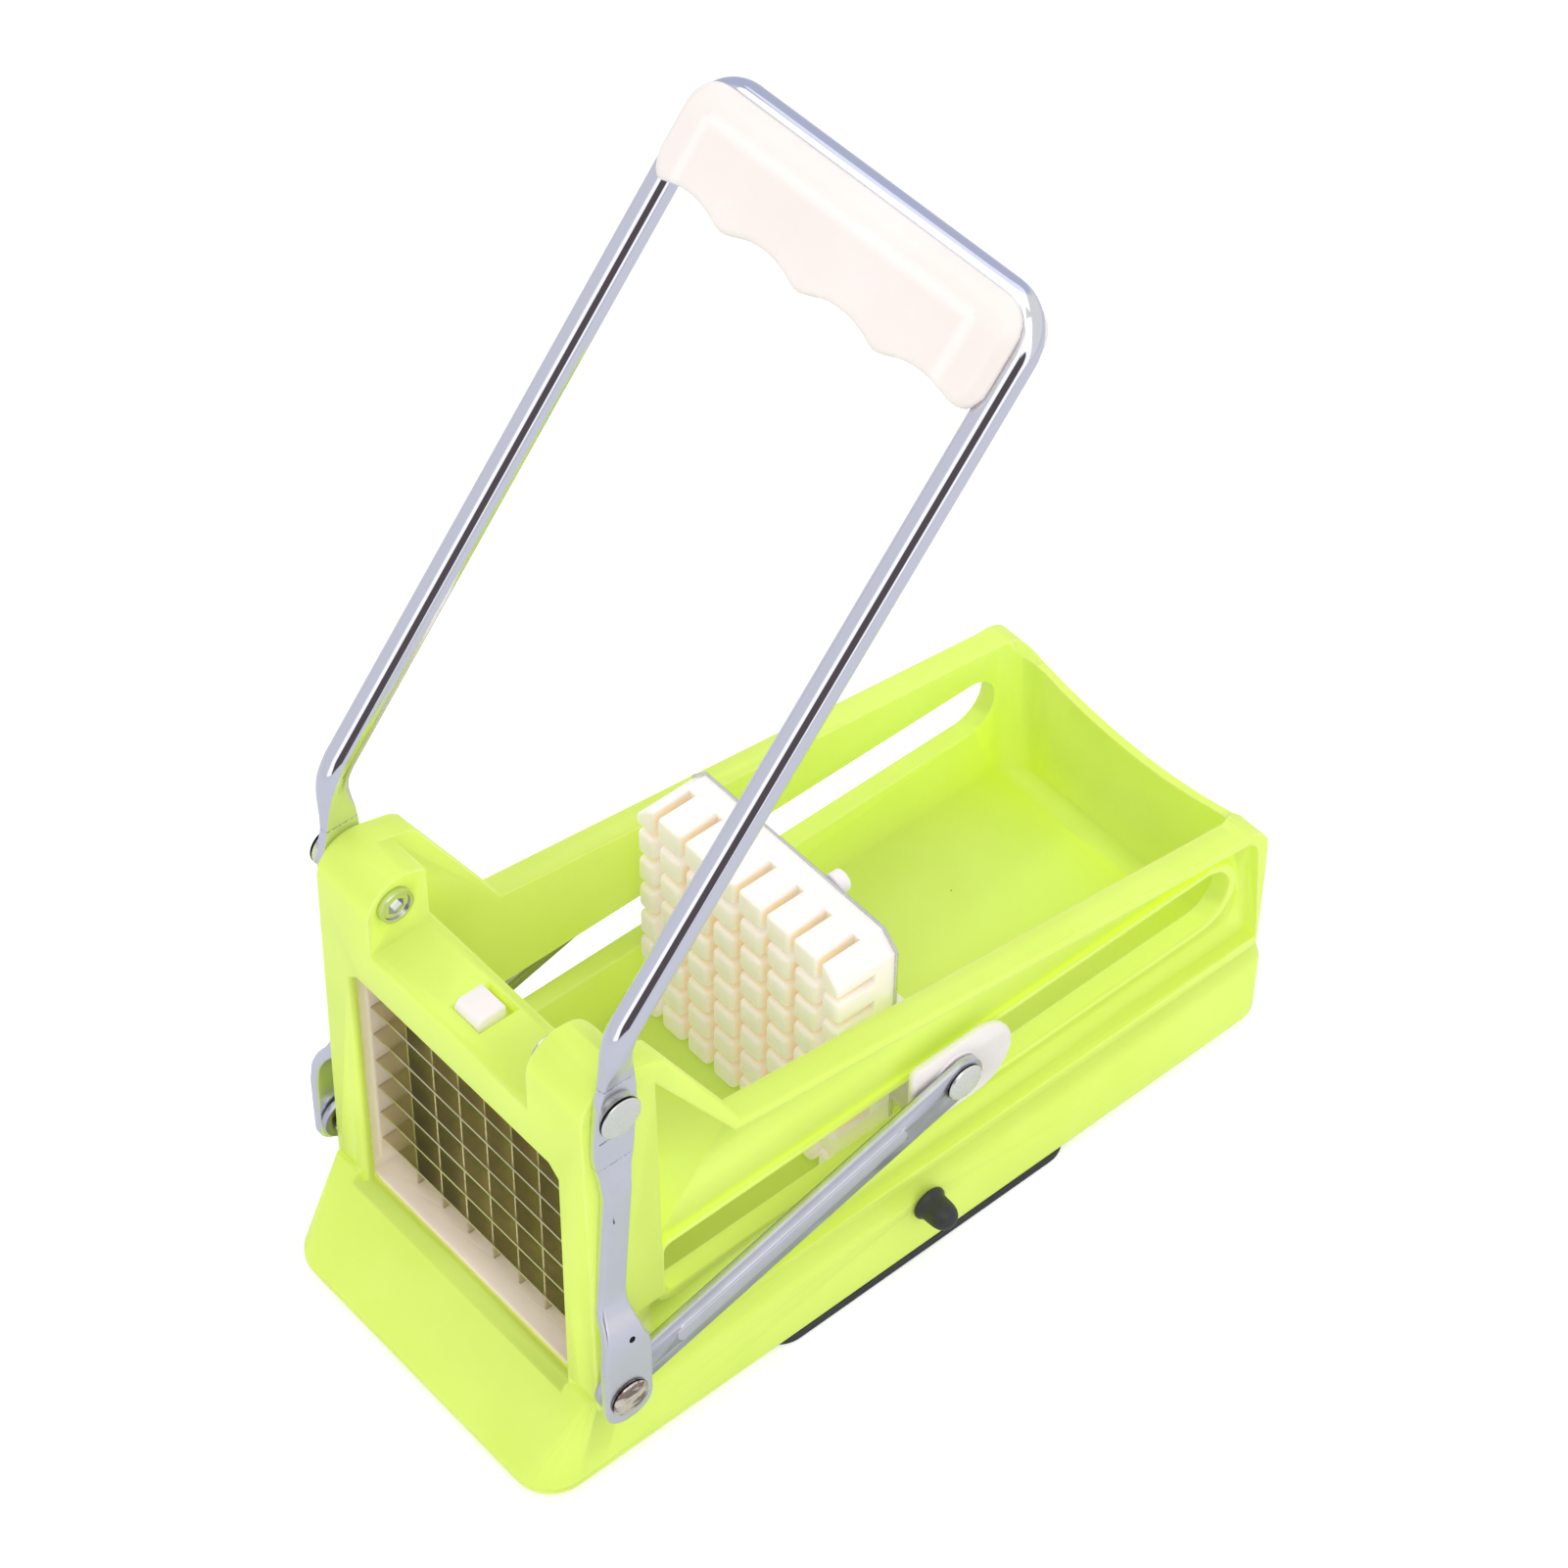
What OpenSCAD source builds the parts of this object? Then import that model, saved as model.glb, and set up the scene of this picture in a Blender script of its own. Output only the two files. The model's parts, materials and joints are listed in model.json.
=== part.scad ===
// Lever French fry cutter: blade grid, prong pusher on a slider-crank, suction base.
// Millimetres, +Z up, the blade window faces -Y, origin in the middle of the pad's underside.

/* [Blade grid] */
// Cell pitch, from one blade to the next
cell = 9; // [8.9:0.05:9.1]
// Thickness of a blade strip
blade_t = 0.5; // [0.4:0.1:0.7]
// Depth of a blade strip along the cut
blade_depth = 10.5; // [9.5:0.5:11]
// Distance the upright strips stand behind the level ones
blade_set = 2.2; // [1.6:0.2:2.4]
// Wall of the blade cartridge beside the grid
frame_wall = 3.4; // [3:0.2:3.6]

/* [Housing] */
// Width between the inner faces of the side walls
chamber_w = 73.6; // [73.4:0.1:74]
// Thickness of the side walls
wall = 3.2; // [2.8:0.2:3.4]
// Overall width across the side rails
rail_w = 87; // [86.8:0.1:87.2]
// Width of the flared skirt at its foot
skirt_w = 92.4; // [91:0.2:93]
// Depth of the skirt below the cutting floor
skirt_h = 22.3; // [21:0.1:23]
// Inside length of the potato chamber behind the blade window
chamber_l = 191.5; // [190:0.5:192]
// Height of the side rails at the towers
rail_front_z = 62.5; // [61:0.5:64]
// Height of the side rails at the rear
rail_rear_z = 41.5; // [40:0.5:43]
// Height of the pusher slots
slot_h = 16.6; // [16.2:0.2:17]
// Radius of the tower heads
tower_r = 8.8; // [8.4:0.2:9]

/* [Pusher] */
// Width of the prong block
block_w = 66.6; // [65:0.2:67]
// Height of the prong block
block_h = 70.4; // [69:0.2:70.6]
// Width of the grooves that pass the blades
groove_w = 2; // [1.6:0.1:2.2]
// Depth of the grooves
groove_d = 11; // [10:0.5:11.5]
// Thickness of the steel backing plate
plate_t = 1; // [0.8:0.1:1.2]

/* [Lever and links] */
// Diameter of the lever tube
tube_d = 6.6; // [6:0.2:7]
// Distance between the tube's two legs, centre to centre
yoke_w = 92; // [91.6:0.1:92.4]
// Lean of the tube above the level at rest
lean = 50.3; // [48:0.1:52]
// Reach from the pivot to the cross tube along the lean
reach = 181.5; // [175:0.5:186]
// Thickness of the flattened legs
leg_t = 2.5; // [2.3:0.1:2.6]
// Crank length, from the upper pivot to the link rivet
crank = 88.1; // [87:0.1:89]
// Length of a link between its rivets
link_l = 99.9; // [99:0.1:100.5]
// Width of a link
link_w = 11.5; // [10.5:0.5:12]
// Thickness of a link
link_t = 2; // [1.8:0.1:2.1]
// Radial clearance in the pivots
pivot_gap = 0.06; // [0.04:0.01:0.09]

/* [Grip] */
// Length of the grip across the lever
grip_w = 93; // [91:0.5:94]
// Thickness of the grip
grip_t = 17; // [15:0.5:18]
// Depth of the finger scallops
scallop = 2.9; // [2:0.1:3.2]

/* [Suction base] */
// Length of the suction pad
pad_l = 92; // [88:1:94]
// Distance the pad stands below the skirt
pad_drop = 3.2; // [2.8:0.1:3.6]
// Diameter of the cam shaft
shaft_d = 4; // [3.6:0.2:4.4]
// Diameter of the suction knob
knob_d = 7; // [6.6:0.2:7.4]

/* [Hidden] */

cells = 8;
grid = cells * cell;
half = grid / 2;
ch = chamber_w / 2;
out = rail_w / 2;
rec = ch + wall;
base_h = skirt_h + pad_drop;
pad_y = 89;
front_y = -5.6;
panel_t = 2.3;
back_y = front_y + panel_t;
bar_y = 11.8;
bar_z = 71.5;
bar_top = 84.5;
floor_z = -0.8;
floor_t = 3;
win = 35;
pocket_x = half + frame_wall + 0.3;
pocket_y = 13.5;
pocket_z = -3.2;
foot_x = skirt_w / 2;
foot_y0 = -21.6;
foot_y1 = 198;
crease_x = foot_x - 1.1;

// upper pivot, link rivet and wing pin at rest
piv_y = 1.2;
piv_z = 95.8;
head_z = piv_z + 6.8;
panel_y = 13.4;
riv_y = piv_y - crank * sin(2.015);
riv_z = piv_z - crank * cos(2.015);
link_a = 14.68;
pin_y = riv_y + link_l * cos(link_a);
pin_z = riv_z + link_l * sin(link_a);
slot_z0 = 17.4;
slot_z1 = slot_z0 + slot_h;
slot_y0 = 16.4;
slot_y1 = 183.2;

// stack outside the side walls
leg_x = out + 0.3;
link_x = 46.9;
low_x = link_x + link_t + 0.3;
wing_x = out + 0.5;

pivot_d = 5;
rivet_d = 4.4;
block_l = 16.4;
cam_z = -8.35;

// the pusher's places follow the pin that the links push
block_y = pin_y - 23.44;
screw_x = 24;
screw_zs = [16, 31];
wing_y = pin_y + 6.56;
wing_z = slot_z0 + 13.6;
wing_r = 10.6;

module at_grid() { translate([0, -pad_y, base_h]) children(); }
module side(s) { mirror([s < 0 ? 1 : 0, 0, 0]) children(); }
module both() { children(); mirror([1, 0, 0]) children(); }
module along_x(x0, x1) {
  translate([x0, 0, 0]) rotate([90, 0, 90]) linear_extrude(x1 - x0) children();
}
module along_y(y0, y1) {
  translate([0, y1, 0]) rotate([90, 0, 0]) linear_extrude(y1 - y0) children();
}
module rod_x(x0, x1, y, z, d) {
  translate([x0, y, z]) rotate([0, 90, 0]) cylinder(h = x1 - x0, d = d, $fn = 48);
}
module rod_y(y0, y1, x, z, d) {
  translate([x, y0, z]) rotate([-90, 0, 0]) cylinder(h = y1 - y0, d = d, $fn = 48);
}
module box(x0, x1, y0, y1, z0, z1) {
  translate([x0, y0, z0]) cube([x1 - x0, y1 - y0, z1 - z0]);
}
module rect(x0, x1, y0, y1, r) {
  translate([x0 + r, y0]) square([x1 - x0 - 2 * r, y1 - y0]);
  translate([x0, y0 + r]) square([x1 - x0, y1 - y0 - 2 * r]);
  for (x = [x0 + r, x1 - r]) for (y = [y0 + r, y1 - r])
    translate([x, y]) circle(r = r, $fn = 32);
}
// plan slab with rounded corners, for the skirt's stations
module station(hx, y0, y1, z, r) { translate([0, 0, z]) linear_extrude(0.6) rect(-hx, hx, y0, y1, r); }

function rail_z(y) = rail_front_z - (y - 36.4) * (rail_front_z - rail_rear_z) / 150.6;

// side view of a wall: tower head, steep shoulder, rail falling to a round rear corner
rear_r = 9.3;
rear_cy = 184.3;
module wall_profile() {
  translate([front_y + tower_r, head_z - tower_r]) circle(r = tower_r, $fn = 64);
  translate([rear_cy, rail_z(rear_cy) - rear_r]) circle(r = rear_r, $fn = 64);
  polygon([[front_y, floor_z], [front_y, head_z - tower_r], [front_y + tower_r, head_z],
    [6.4, head_z - 0.4], [13.6, head_z - 2.6], [15.6, head_z - 4], [17, head_z - 6.4],
    [36.4, rail_front_z], [rear_cy + 0.6, rail_z(rear_cy + 1.4)],
    [rear_cy + rear_r, rail_z(rear_cy) - rear_r], [196.4, floor_z]]);
}
// the pocket in each side's outer face
module recess_profile() {
  r = rear_r - 3.3;
  translate([rear_cy, rail_z(rear_cy) - rear_r]) circle(r = r, $fn = 48);
  polygon([[3, 1.9], [3, 24], [panel_y, 24], [panel_y, 93], [34.6, rail_z(34.6) - 2.6],
    [rear_cy + 0.4, rail_z(rear_cy) - 3.3], [rear_cy + r, rail_z(rear_cy) - rear_r], [193.2, 1.9]]);
}
module slot_profile(g) {
  r = slot_h / 2 + g;
  rect(slot_y0 - g, slot_y1 - r, slot_z0 - g, slot_z1 + g, 2 + g);
  translate([slot_y1 - r - 6, slot_z0 - g]) square([6.1, 2 * r]);
  translate([slot_y1 + g - r, slot_z0 - g + r]) circle(r = r, $fn = 64);
  translate([slot_y1 - r - 1, slot_z0 - g]) square([1 + g, 2 * r]);
}

module housing() {
  color([0.80, 0.95, 0.30]) at_grid() {
    difference() {
      union() {
        difference() {
          housing_shell();
          translate([0, 0, floor_z]) linear_extrude(120)
            rect(-ch, ch, bar_y - 30, chamber_l, 8);
          cavity();
        }
        // front panel, top bar and tower heads
        along_y(front_y, back_y) polygon([[-ch - 1, -1], [ch + 1, -1], [ch + 1, bar_top - 1.6],
          [-ch - 1, bar_top - 1.6]]);
        along_x(-ch - 1, ch + 1) rect(front_y, bar_y, bar_z, bar_top, 1.8);
        both() boss();
      }
      box(-pocket_x, pocket_x, back_y, pocket_y, pocket_z, bar_z + 4.6);
      box(-ch + 2, ch - 2, back_y + 0.2, bar_y - 2.4, bar_z, bar_top - 2.6);
      // blade window
      along_y(front_y - 4, back_y + 0.1) polygon([[-win, floor_z], [-win, bar_z - 2.6],
        [-win + 3, bar_z], [win - 3, bar_z], [win, bar_z - 2.6], [win, floor_z]]);
      // outer pockets, with a raised bead round each slot
      both() along_x(42, out + 6) recess_profile();
      both() along_x(rec, 42.5) difference() {
        recess_profile();
        slot_profile(2.5);
      }
      both() along_x(ch - 1, out + 1) slot_profile(0);
      // latch slot, pivot bores, shaft bore
      box(-4.3, 4.9, -1.16, 8.7, bar_top - 4, bar_top + 1);
      both() rod_x(20, out + 2, piv_y, piv_z, pivot_d + 0.02);
      both() rod_x(24, 27.2, piv_y, piv_z, 8.4);
      rod_x(30, foot_x + 4, pad_y, cam_z, shaft_d + 0.16);
      // dished rear edge
      along_y(chamber_l - 4, 200) {
        difference() {
          translate([0, 143.2]) circle(r = 113, $fn = 240);
          for (x = [-150, 32]) translate([x, 20]) square([118, 240]);
        }
        polygon([[-31.9, 50], [-31.9, 34.9], [-34.6, 37], [-ch, 40.6], [-ch, 50]]);
        polygon([[31.9, 50], [31.9, 34.9], [34.6, 37], [ch, 40.6], [ch, 50]]);
      }
    }
    difference() {
      for (x = [-21, 17]) box(x, x + 3, 50, 128, -skirt_h + 2.6, floor_z - 1);
      rod_x(-40, 40, pad_y, cam_z, shaft_d + 0.16);
    }
  }
}
module cavity() {
  hull() {
    station(foot_x - 2.8, foot_y0 + 2.8, foot_y1 - 2.8, -skirt_h - 0.6, 7);
    station(ch + 0.6, 1, chamber_l + 1.4, floor_z - floor_t - 0.6, 3);
  }
}
module housing_shell() {
  hull() {
    station(foot_x, foot_y0, foot_y1, -skirt_h, 9.5);
    station(crease_x, -10, 197, -7, 6);
  }
  hull() {
    station(crease_x, -10, 197, -7, 6);
    station(rec, -6.5, 196.5, 1.4, 3);
  }
  hull() {
    station(foot_x, foot_y0, 4, -skirt_h + 1.4, 9.5);
    station(44.8, -7.4, 3, 0.8, 1);
  }
  intersection() {
    union() {
      both() along_x(ch - 1, out) wall_profile();
      along_x(-ch, ch) intersection() {
        wall_profile();
        translate([183, -4]) square([20, 60]);
      }
    }
    translate([0, 0, -5]) linear_extrude(120) rect(-out, out, -40, 196.4, 4.5);
  }
  // drafted front face and tower sides
  both() intersection() {
    along_y(front_y, panel_y) polygon([[ch - 1, -1], [out + 2.45, -1], [out, 93], [out, 106],
      [ch - 1, 106]]);
    along_x(ch - 1, out + 4) wall_profile();
  }
}
// tower head with a round top, standing on the top bar
module boss() {
  intersection() {
    linear_extrude(110) {
      translate([26, front_y]) square([ch - 25, bar_y - front_y - 4]);
      translate([30, front_y]) square([ch - 29, bar_y - front_y]);
      translate([30, bar_y - 4]) circle(r = 4, $fn = 32);
    }
    along_x(25, ch + 1) {
      translate([front_y + tower_r, head_z - tower_r]) circle(r = tower_r, $fn = 64);
      translate([front_y, bar_top - 2]) square([2 * tower_r, head_z - tower_r - bar_top + 2]);
    }
  }
}
module blade_frame() {
  color([0.97, 0.94, 0.86]) at_grid() difference() {
    union() {
      along_y(back_y + 0.1, pocket_y - 0.3)
        rect(-half - frame_wall, half + frame_wall, pocket_z + 0.2, grid + 3.9, 2);
    }
    box(-half, half, back_y - 1, pocket_y + 1, 0, grid);
    // blade seats
    for (k = [1 : cells - 1]) {
      box(-half - 2, half + 2, -0.04, blade_depth + 4, k * cell - blade_t / 2 - 0.03,
        k * cell + blade_t / 2 + 0.03);
      box((k - cells / 2) * cell - blade_t / 2 - 0.03, (k - cells / 2) * cell + blade_t / 2 + 0.03,
        blade_set - 0.04, blade_set + blade_depth + 2, -1.8, grid + 1.8);
    }
    // relief in front of the grid's side walls
    both() along_y(-4, -1) polygon([[half - 1, 2], [half + 1.4, 4], [half + 1.4, grid - 4],
      [half - 1, grid - 2]]);
  }
}
module blades_level() {
  lap = (blade_set + blade_depth) / 2;
  color([0.78, 0.79, 0.80]) at_grid()
    for (k = [1 : cells - 1]) translate([0, 0, k * cell - blade_t / 2])
      linear_extrude(blade_t) difference() {
        polygon([[-half - 1.8, 0], [half + 1.8, 0], [half + 1.8, blade_depth],
          [-half - 1.8, blade_depth]]);
        for (j = [1 : cells - 1]) translate([(j - cells / 2) * cell - blade_t / 2 - 0.04, lap])
          square([blade_t + 0.08, blade_depth]);
      }
}
module blades_upright() {
  lap = (blade_set + blade_depth) / 2;
  color([0.74, 0.75, 0.76]) at_grid()
    for (j = [1 : cells - 1]) along_x((j - cells / 2) * cell - blade_t / 2,
      (j - cells / 2) * cell + blade_t / 2) difference() {
        translate([blade_set, -1.6]) square([blade_depth, grid + 3.2]);
        for (k = [1 : cells - 1]) translate([blade_set - 1, k * cell - blade_t / 2 - 0.04])
          square([lap - blade_set + 1, blade_t + 0.08]);
      }
}
module blade_latch() {
  color([0.97, 0.94, 0.86]) at_grid() {
    along_x(-4, 4) polygon([[-1, bar_top - 3], [-1, bar_top + 0.6], [0.3, bar_top + 1.8],
      [6.5, bar_top + 1.8], [6.5, bar_top - 5], [4, bar_top - 5], [4, bar_top - 3]]);
    box(-3, 3, 4, 6.5, bar_z + 5, bar_top - 4);
    box(-7, 7, 3, 7, bar_z + 4.9, bar_z + 6.4);
  }
}

module octagon(hx, z0, z1, c) {
  polygon([[-hx + c, z0], [hx - c, z0], [hx, z0 + c], [hx, z1 - c], [hx - c, z1],
    [-hx + c, z1], [-hx, z1 - c], [-hx, z0 + c]]);
}
module pusher_block() {
  z1 = 1 + block_h;
  color([0.97, 0.94, 0.86]) at_grid() difference() {
    hull() {
      along_y(block_y, block_y + 0.4) octagon(block_w / 2 - 1.8, 2.6, z1 - 1.8, 4);
      along_y(block_y + 2.4, block_y + block_l) octagon(block_w / 2, 1, z1, 4.4);
    }
    for (k = [1 : cells - 1]) {
      groove(k * cell, 0);
      groove((k - cells / 2) * cell, 1);
    }
    for (x = [-screw_x, screw_x]) for (z = screw_zs)
      rod_y(block_y + block_l - 3.4, block_y + block_l + 1, x, z, 2.9);
  }
}
// one groove with a flared mouth: level at height p, or upright at x = p
module groove(p, up) {
  g = groove_w / 2;
  if (up == 1) translate([p, block_y, -1]) linear_extrude(80)
    polygon([[-g - 1.1, -1], [g + 1.1, -1], [g + 1.1, 0], [g + 0.4, 0.5], [g, 1.5], [g, groove_d],
      [-g, groove_d], [-g, 1.5], [-g - 0.4, 0.5], [-g - 1.1, 0]]);
  else translate([-40, block_y, p]) rotate([90, 0, 90]) linear_extrude(80)
    polygon([[-1, -g - 1.1], [0, -g - 1.1], [0.5, -g - 0.4], [1.5, -g], [groove_d, -g],
      [groove_d, g], [1.5, g], [0.5, g + 0.4], [0, g + 1.1], [-1, g + 1.1]]);
}
module pusher_plate() {
  py = block_y + block_l;
  color([0.80, 0.81, 0.83]) at_grid() difference() {
    union() {
      along_y(py, py + plate_t) octagon(block_w / 2 + 0.6, 0.6, 1.4 + block_h, 4.4);
      both() box(block_w / 2 - 3, wing_x - 0.15, py, py + plate_t, slot_z0 + 0.8, slot_z1 - 4.6);
    }
    for (x = [-screw_x, screw_x]) for (z = screw_zs) rod_y(py - 1, py + plate_t + 1, x, z, 3.3);
  }
}
module pusher_carrier() {
  py = block_y + block_l + plate_t;
  color([0.97, 0.94, 0.86]) at_grid() difference() {
    union() {
      box(-31, 31, py, py + 2.6, 8.4, 40);
      for (x = [-31, -12, 9.6, 28.6]) box(x, x + 2.4, py + 2, py + 9, 9, 39.6);
      for (z = [9, 22.4, 37.2]) box(-31, 31, py + 2, py + 8, z, z + 2.4);
      // slim spine with a round stud at the top of the plate
      box(10.2, 13.4, py, py + 2.8, 39, 69);
      rod_y(py, py + 3.2, 11.8, block_h - 1, 5.4);
      // necks through the side slots
      both() box(28, wing_x, py + 0.2, py + 18, slot_z0 + 0.5, slot_z1 - 0.5);
    }
    both() rod_x(ch + 2, wing_x + 1, pin_y, 26, 3);
    for (x = [-screw_x, screw_x]) for (z = screw_zs) rod_y(py - 1, py + 12, x, z, 3.3);
    both() box(30.4, ch - 1.6, py + 3, py + 15.4, slot_z0 + 2.6, slot_z1 - 2.6);
  }
}
module pusher_screws() {
  py = block_y + block_l + plate_t;
  color([0.75, 0.76, 0.78]) at_grid()
    for (x = [-screw_x, screw_x]) for (z = screw_zs) {
      rod_y(py - plate_t - 3.3, py + 3, x, z, 2.86);
      difference() {
        rod_y(py + 2.6, py + 4.4, x, z, 5.8);
        translate([x, py + 3.6, z]) {
          cube([3.4, 2, 0.8], center = true);
          cube([0.8, 2, 3.4], center = true);
        }
      }
    }
}
// outer cheeks that keep the pusher between the rails
module wing_plates() {
  color([0.97, 0.94, 0.86]) at_grid() both() difference() {
    union() {
      along_x(wing_x, wing_x + 2) {
        translate([wing_y, wing_z]) circle(r = wing_r, $fn = 64);
        rect(wing_y - 18.7, wing_y, wing_z - wing_r, wing_z + wing_r, 2);
      }
      rod_x(wing_x + 1.9, wing_x + 2.6, pin_y, pin_z, 12.4);
    }
    rod_x(wing_x - 1, wing_x + 4, pin_y, pin_z, rivet_d + 2);
  }
}

// the lever: a bent tube whose lower legs are pressed flat and cranked outwards
tube_off = 13.4;
tube_s0 = 22;
bend_r = 14;
corner_r = 9;
grip_h = 23.3;
grip_screw_s = reach - 10.5;
grip_screws_x = [-30, 0, 30];
bend_y = tube_s0 * cos(lean) - (tube_off - bend_r) * sin(lean);
bend_z = tube_s0 * sin(lean) + (tube_off - bend_r) * cos(lean);
module lever_tube() {
  hx = yoke_w / 2;
  r = tube_d / 2;
  color([0.82, 0.83, 0.85]) at_grid() translate([0, piv_y, piv_z]) {
    rotate([lean - 90, 0, 0]) {
      both() {
        translate([hx, -tube_off, tube_s0])
          cylinder(h = reach - corner_r - tube_s0, r = r, $fn = 48);
        translate([hx, -tube_off, tube_s0 - 2]) cylinder(h = 4, r = r - 0.9, $fn = 48);
        translate([hx - corner_r, -tube_off, reach - corner_r]) rotate([90, 0, 0])
          rotate_extrude(angle = 90, $fn = 64) translate([corner_r, 0]) circle(r = r, $fn = 48);
      }
      translate([-hx + corner_r, -tube_off, reach]) rotate([0, 90, 0])
        cylinder(h = yoke_w - 2 * corner_r, r = r, $fn = 48);
    }
    both() {
      multmatrix([[0, 0, -1, hx], [-1, 0, 0, bend_y], [0, 1, 0, bend_z], [0, 0, 0, 1]])
        rotate_extrude(angle = 90 - lean, $fn = 64) translate([bend_r, 0]) circle(r = r, $fn = 48);
      leg();
    }
  }
}
// flat leg hanging from the pivot, tilted with the tower's draft, then cranked clear of the link
module tilt() { translate([leg_x, 0, 7]) rotate([0, -1.5, 0]) translate([-leg_x, 0, -7]) children(); }
module shaft_section(g) { rect(g, leg_t + 0.6 - g, g - 3.6, 3.6 - g, 1.3 - g); }
module leg() {
  hx = yoke_w / 2;
  ly = riv_y - piv_y;
  lz = riv_z - piv_z;
  difference() {
    union() {
      // neck from the round tube into the pressed pad
      hull() {
        translate([hx, bend_y - bend_r, bend_z - 0.5]) cylinder(h = 0.6, d = tube_d - 0.1, $fn = 32);
        along_x(leg_x + 0.2, leg_x + leg_t - 0.1) translate([-4, 4.5]) square([9.2, 1.5]);
      }
      tilt() along_x(leg_x, leg_x + leg_t)
        polygon([[-3.3, 8.4], [-4.2, 4], [-4.7, -3], [-5, -11], [-4.8, -14], [-4.1, -17],
          [4.7, -17], [5.1, -12], [5.5, -2], [5.4, 4], [4.9, 8.4]]);
      // the pad narrows into a half-flat shaft
      hull() {
        tilt() box(leg_x + 0.03, leg_x + leg_t - 0.03, -4, 4.6, -16.8, -16.2);
        tilt() translate([leg_x, 0.87, -26.6]) linear_extrude(0.6) shaft_section(0);
      }
      tilt() translate([leg_x, 0.87, -26.3]) rotate([-2.1, 0, 0]) translate([0, 0, -33.1])
        linear_extrude(33.1) shaft_section(0.06);
      // crank outwards into the low pad
      hull() {
        tilt() translate([leg_x, -0.34, -59.7]) linear_extrude(0.6) shaft_section(0);
        box(low_x + 0.03, low_x + leg_t - 0.03, ly - 5.1, ly + 4.9, -70.2, -69.6);
      }
      along_x(low_x, low_x + leg_t) {
        rect(ly - 5.8, ly + 6.7, lz - 7.8, -76, 4.6);
        polygon([[ly - 5.2, -69], [ly - 5.7, -73], [ly - 5.8, -76], [ly - 5.8, -82],
          [ly + 6.7, -82], [ly + 6.7, -76], [ly + 6.4, -73], [ly + 5, -69]]);
      }
    }
    rod_x(leg_x - 2, leg_x + 6, 0, 0, pivot_d + 2 + 2 * pivot_gap);
    rod_x(low_x - 2, low_x + 6, ly, lz, rivet_d + 0.02);
    rod_x(low_x - 4, low_x + 6, -1.6, -69.4, 1.6);
    // the neck passes beside the tower head
    box(hx - 8, out + 0.15, -14, 16, -10, 15.6);
  }
}

module grip_outline() {
  gx = grip_w / 2;
  s0 = reach - grip_h;
  s1 = reach + 0.6;
  p = (grip_w - 4.4) / 4;
  rs = (p * p / 4 + scallop * scallop) / (2 * scallop);
  difference() {
    rect(-gx, gx, s0, s1, 7);
    for (i = [-1.5 : 1 : 1.5]) translate([i * p, s0 + scallop - rs]) circle(r = rs, $fn = 96);
  }
}
// one half of the grip from the parting face t0 to its outside t1, in two steps of edge
module grip_shell(t0, t1, m) {
  gx = grip_w / 2;
  translate([0, 0, t0]) linear_extrude(t1 - t0 - m) grip_outline();
  translate([0, 0, t1 - m - 0.01]) linear_extrude(m * 0.5) intersection() {
    grip_outline();
    rect(-gx + m * 0.3, gx - m * 0.3, reach - grip_h, reach + 0.6 - m * 0.3, 6.6);
  }
  translate([0, 0, t1 - m * 0.5 - 0.02]) linear_extrude(m * 0.5) intersection() {
    grip_outline();
    rect(-gx + m * 0.8, gx - m * 0.8, reach - grip_h + m * 0.4, reach + 0.6 - m * 0.8, 6);
  }
}
module lever_plane() {
  at_grid() translate([0, piv_y, piv_z]) rotate([lean, 0, 0]) translate([0, 0, tube_off]) children();
}
module tube_groove() {
  hx = yoke_w / 2;
  g = tube_d / 2 + 0.04;
  both() translate([hx, reach - grip_h - 18, 0]) rotate([-90, 0, 0])
    cylinder(h = grip_h + 18 - corner_r, r = g, $fn = 48);
  both() translate([hx - corner_r, reach - corner_r, 0]) rotate_extrude(angle = 90, $fn = 64)
    translate([corner_r, 0]) circle(r = g, $fn = 48);
  translate([-hx + corner_r, reach, 0]) rotate([0, 90, 0])
    cylinder(h = yoke_w - 2 * corner_r, r = g, $fn = 48);
}
module grip_front() {
  color([0.98, 0.96, 0.91]) lever_plane() difference() {
    grip_shell(0.02, grip_t / 2 + 0.4, 2);
    tube_groove();
    for (x = grip_screws_x) translate([x, grip_screw_s, -1]) cylinder(h = 6, d = 3, $fn = 32);
  }
}
module grip_back() {
  color([0.98, 0.96, 0.91]) lever_plane() difference() {
    mirror([0, 0, 1]) grip_shell(0.02, grip_t / 2 - 0.4, 2);
    tube_groove();
    for (x = grip_screws_x) {
      translate([x, grip_screw_s, -20]) cylinder(h = 22, d = 3.2, $fn = 32);
      translate([x, grip_screw_s, -20]) cylinder(h = 14, d = 6.2, $fn = 32);
    }
  }
}
module grip_screws() {
  color([0.75, 0.76, 0.78]) lever_plane() for (x = grip_screws_x) translate([x, grip_screw_s, 0]) {
    translate([0, 0, -5]) cylinder(h = 9.6, d = 2.96, $fn = 32);
    difference() {
      translate([0, 0, -7.4]) cylinder(h = 1.4, d = 5.8, $fn = 32);
      translate([0, 0, -7.6]) {
        cube([3.4, 0.8, 1.6], center = true);
        cube([0.8, 3.4, 1.6], center = true);
      }
    }
    translate([0, 0, -6.2]) cylinder(h = 2, d = 2.96, $fn = 32);
  }
}

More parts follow.
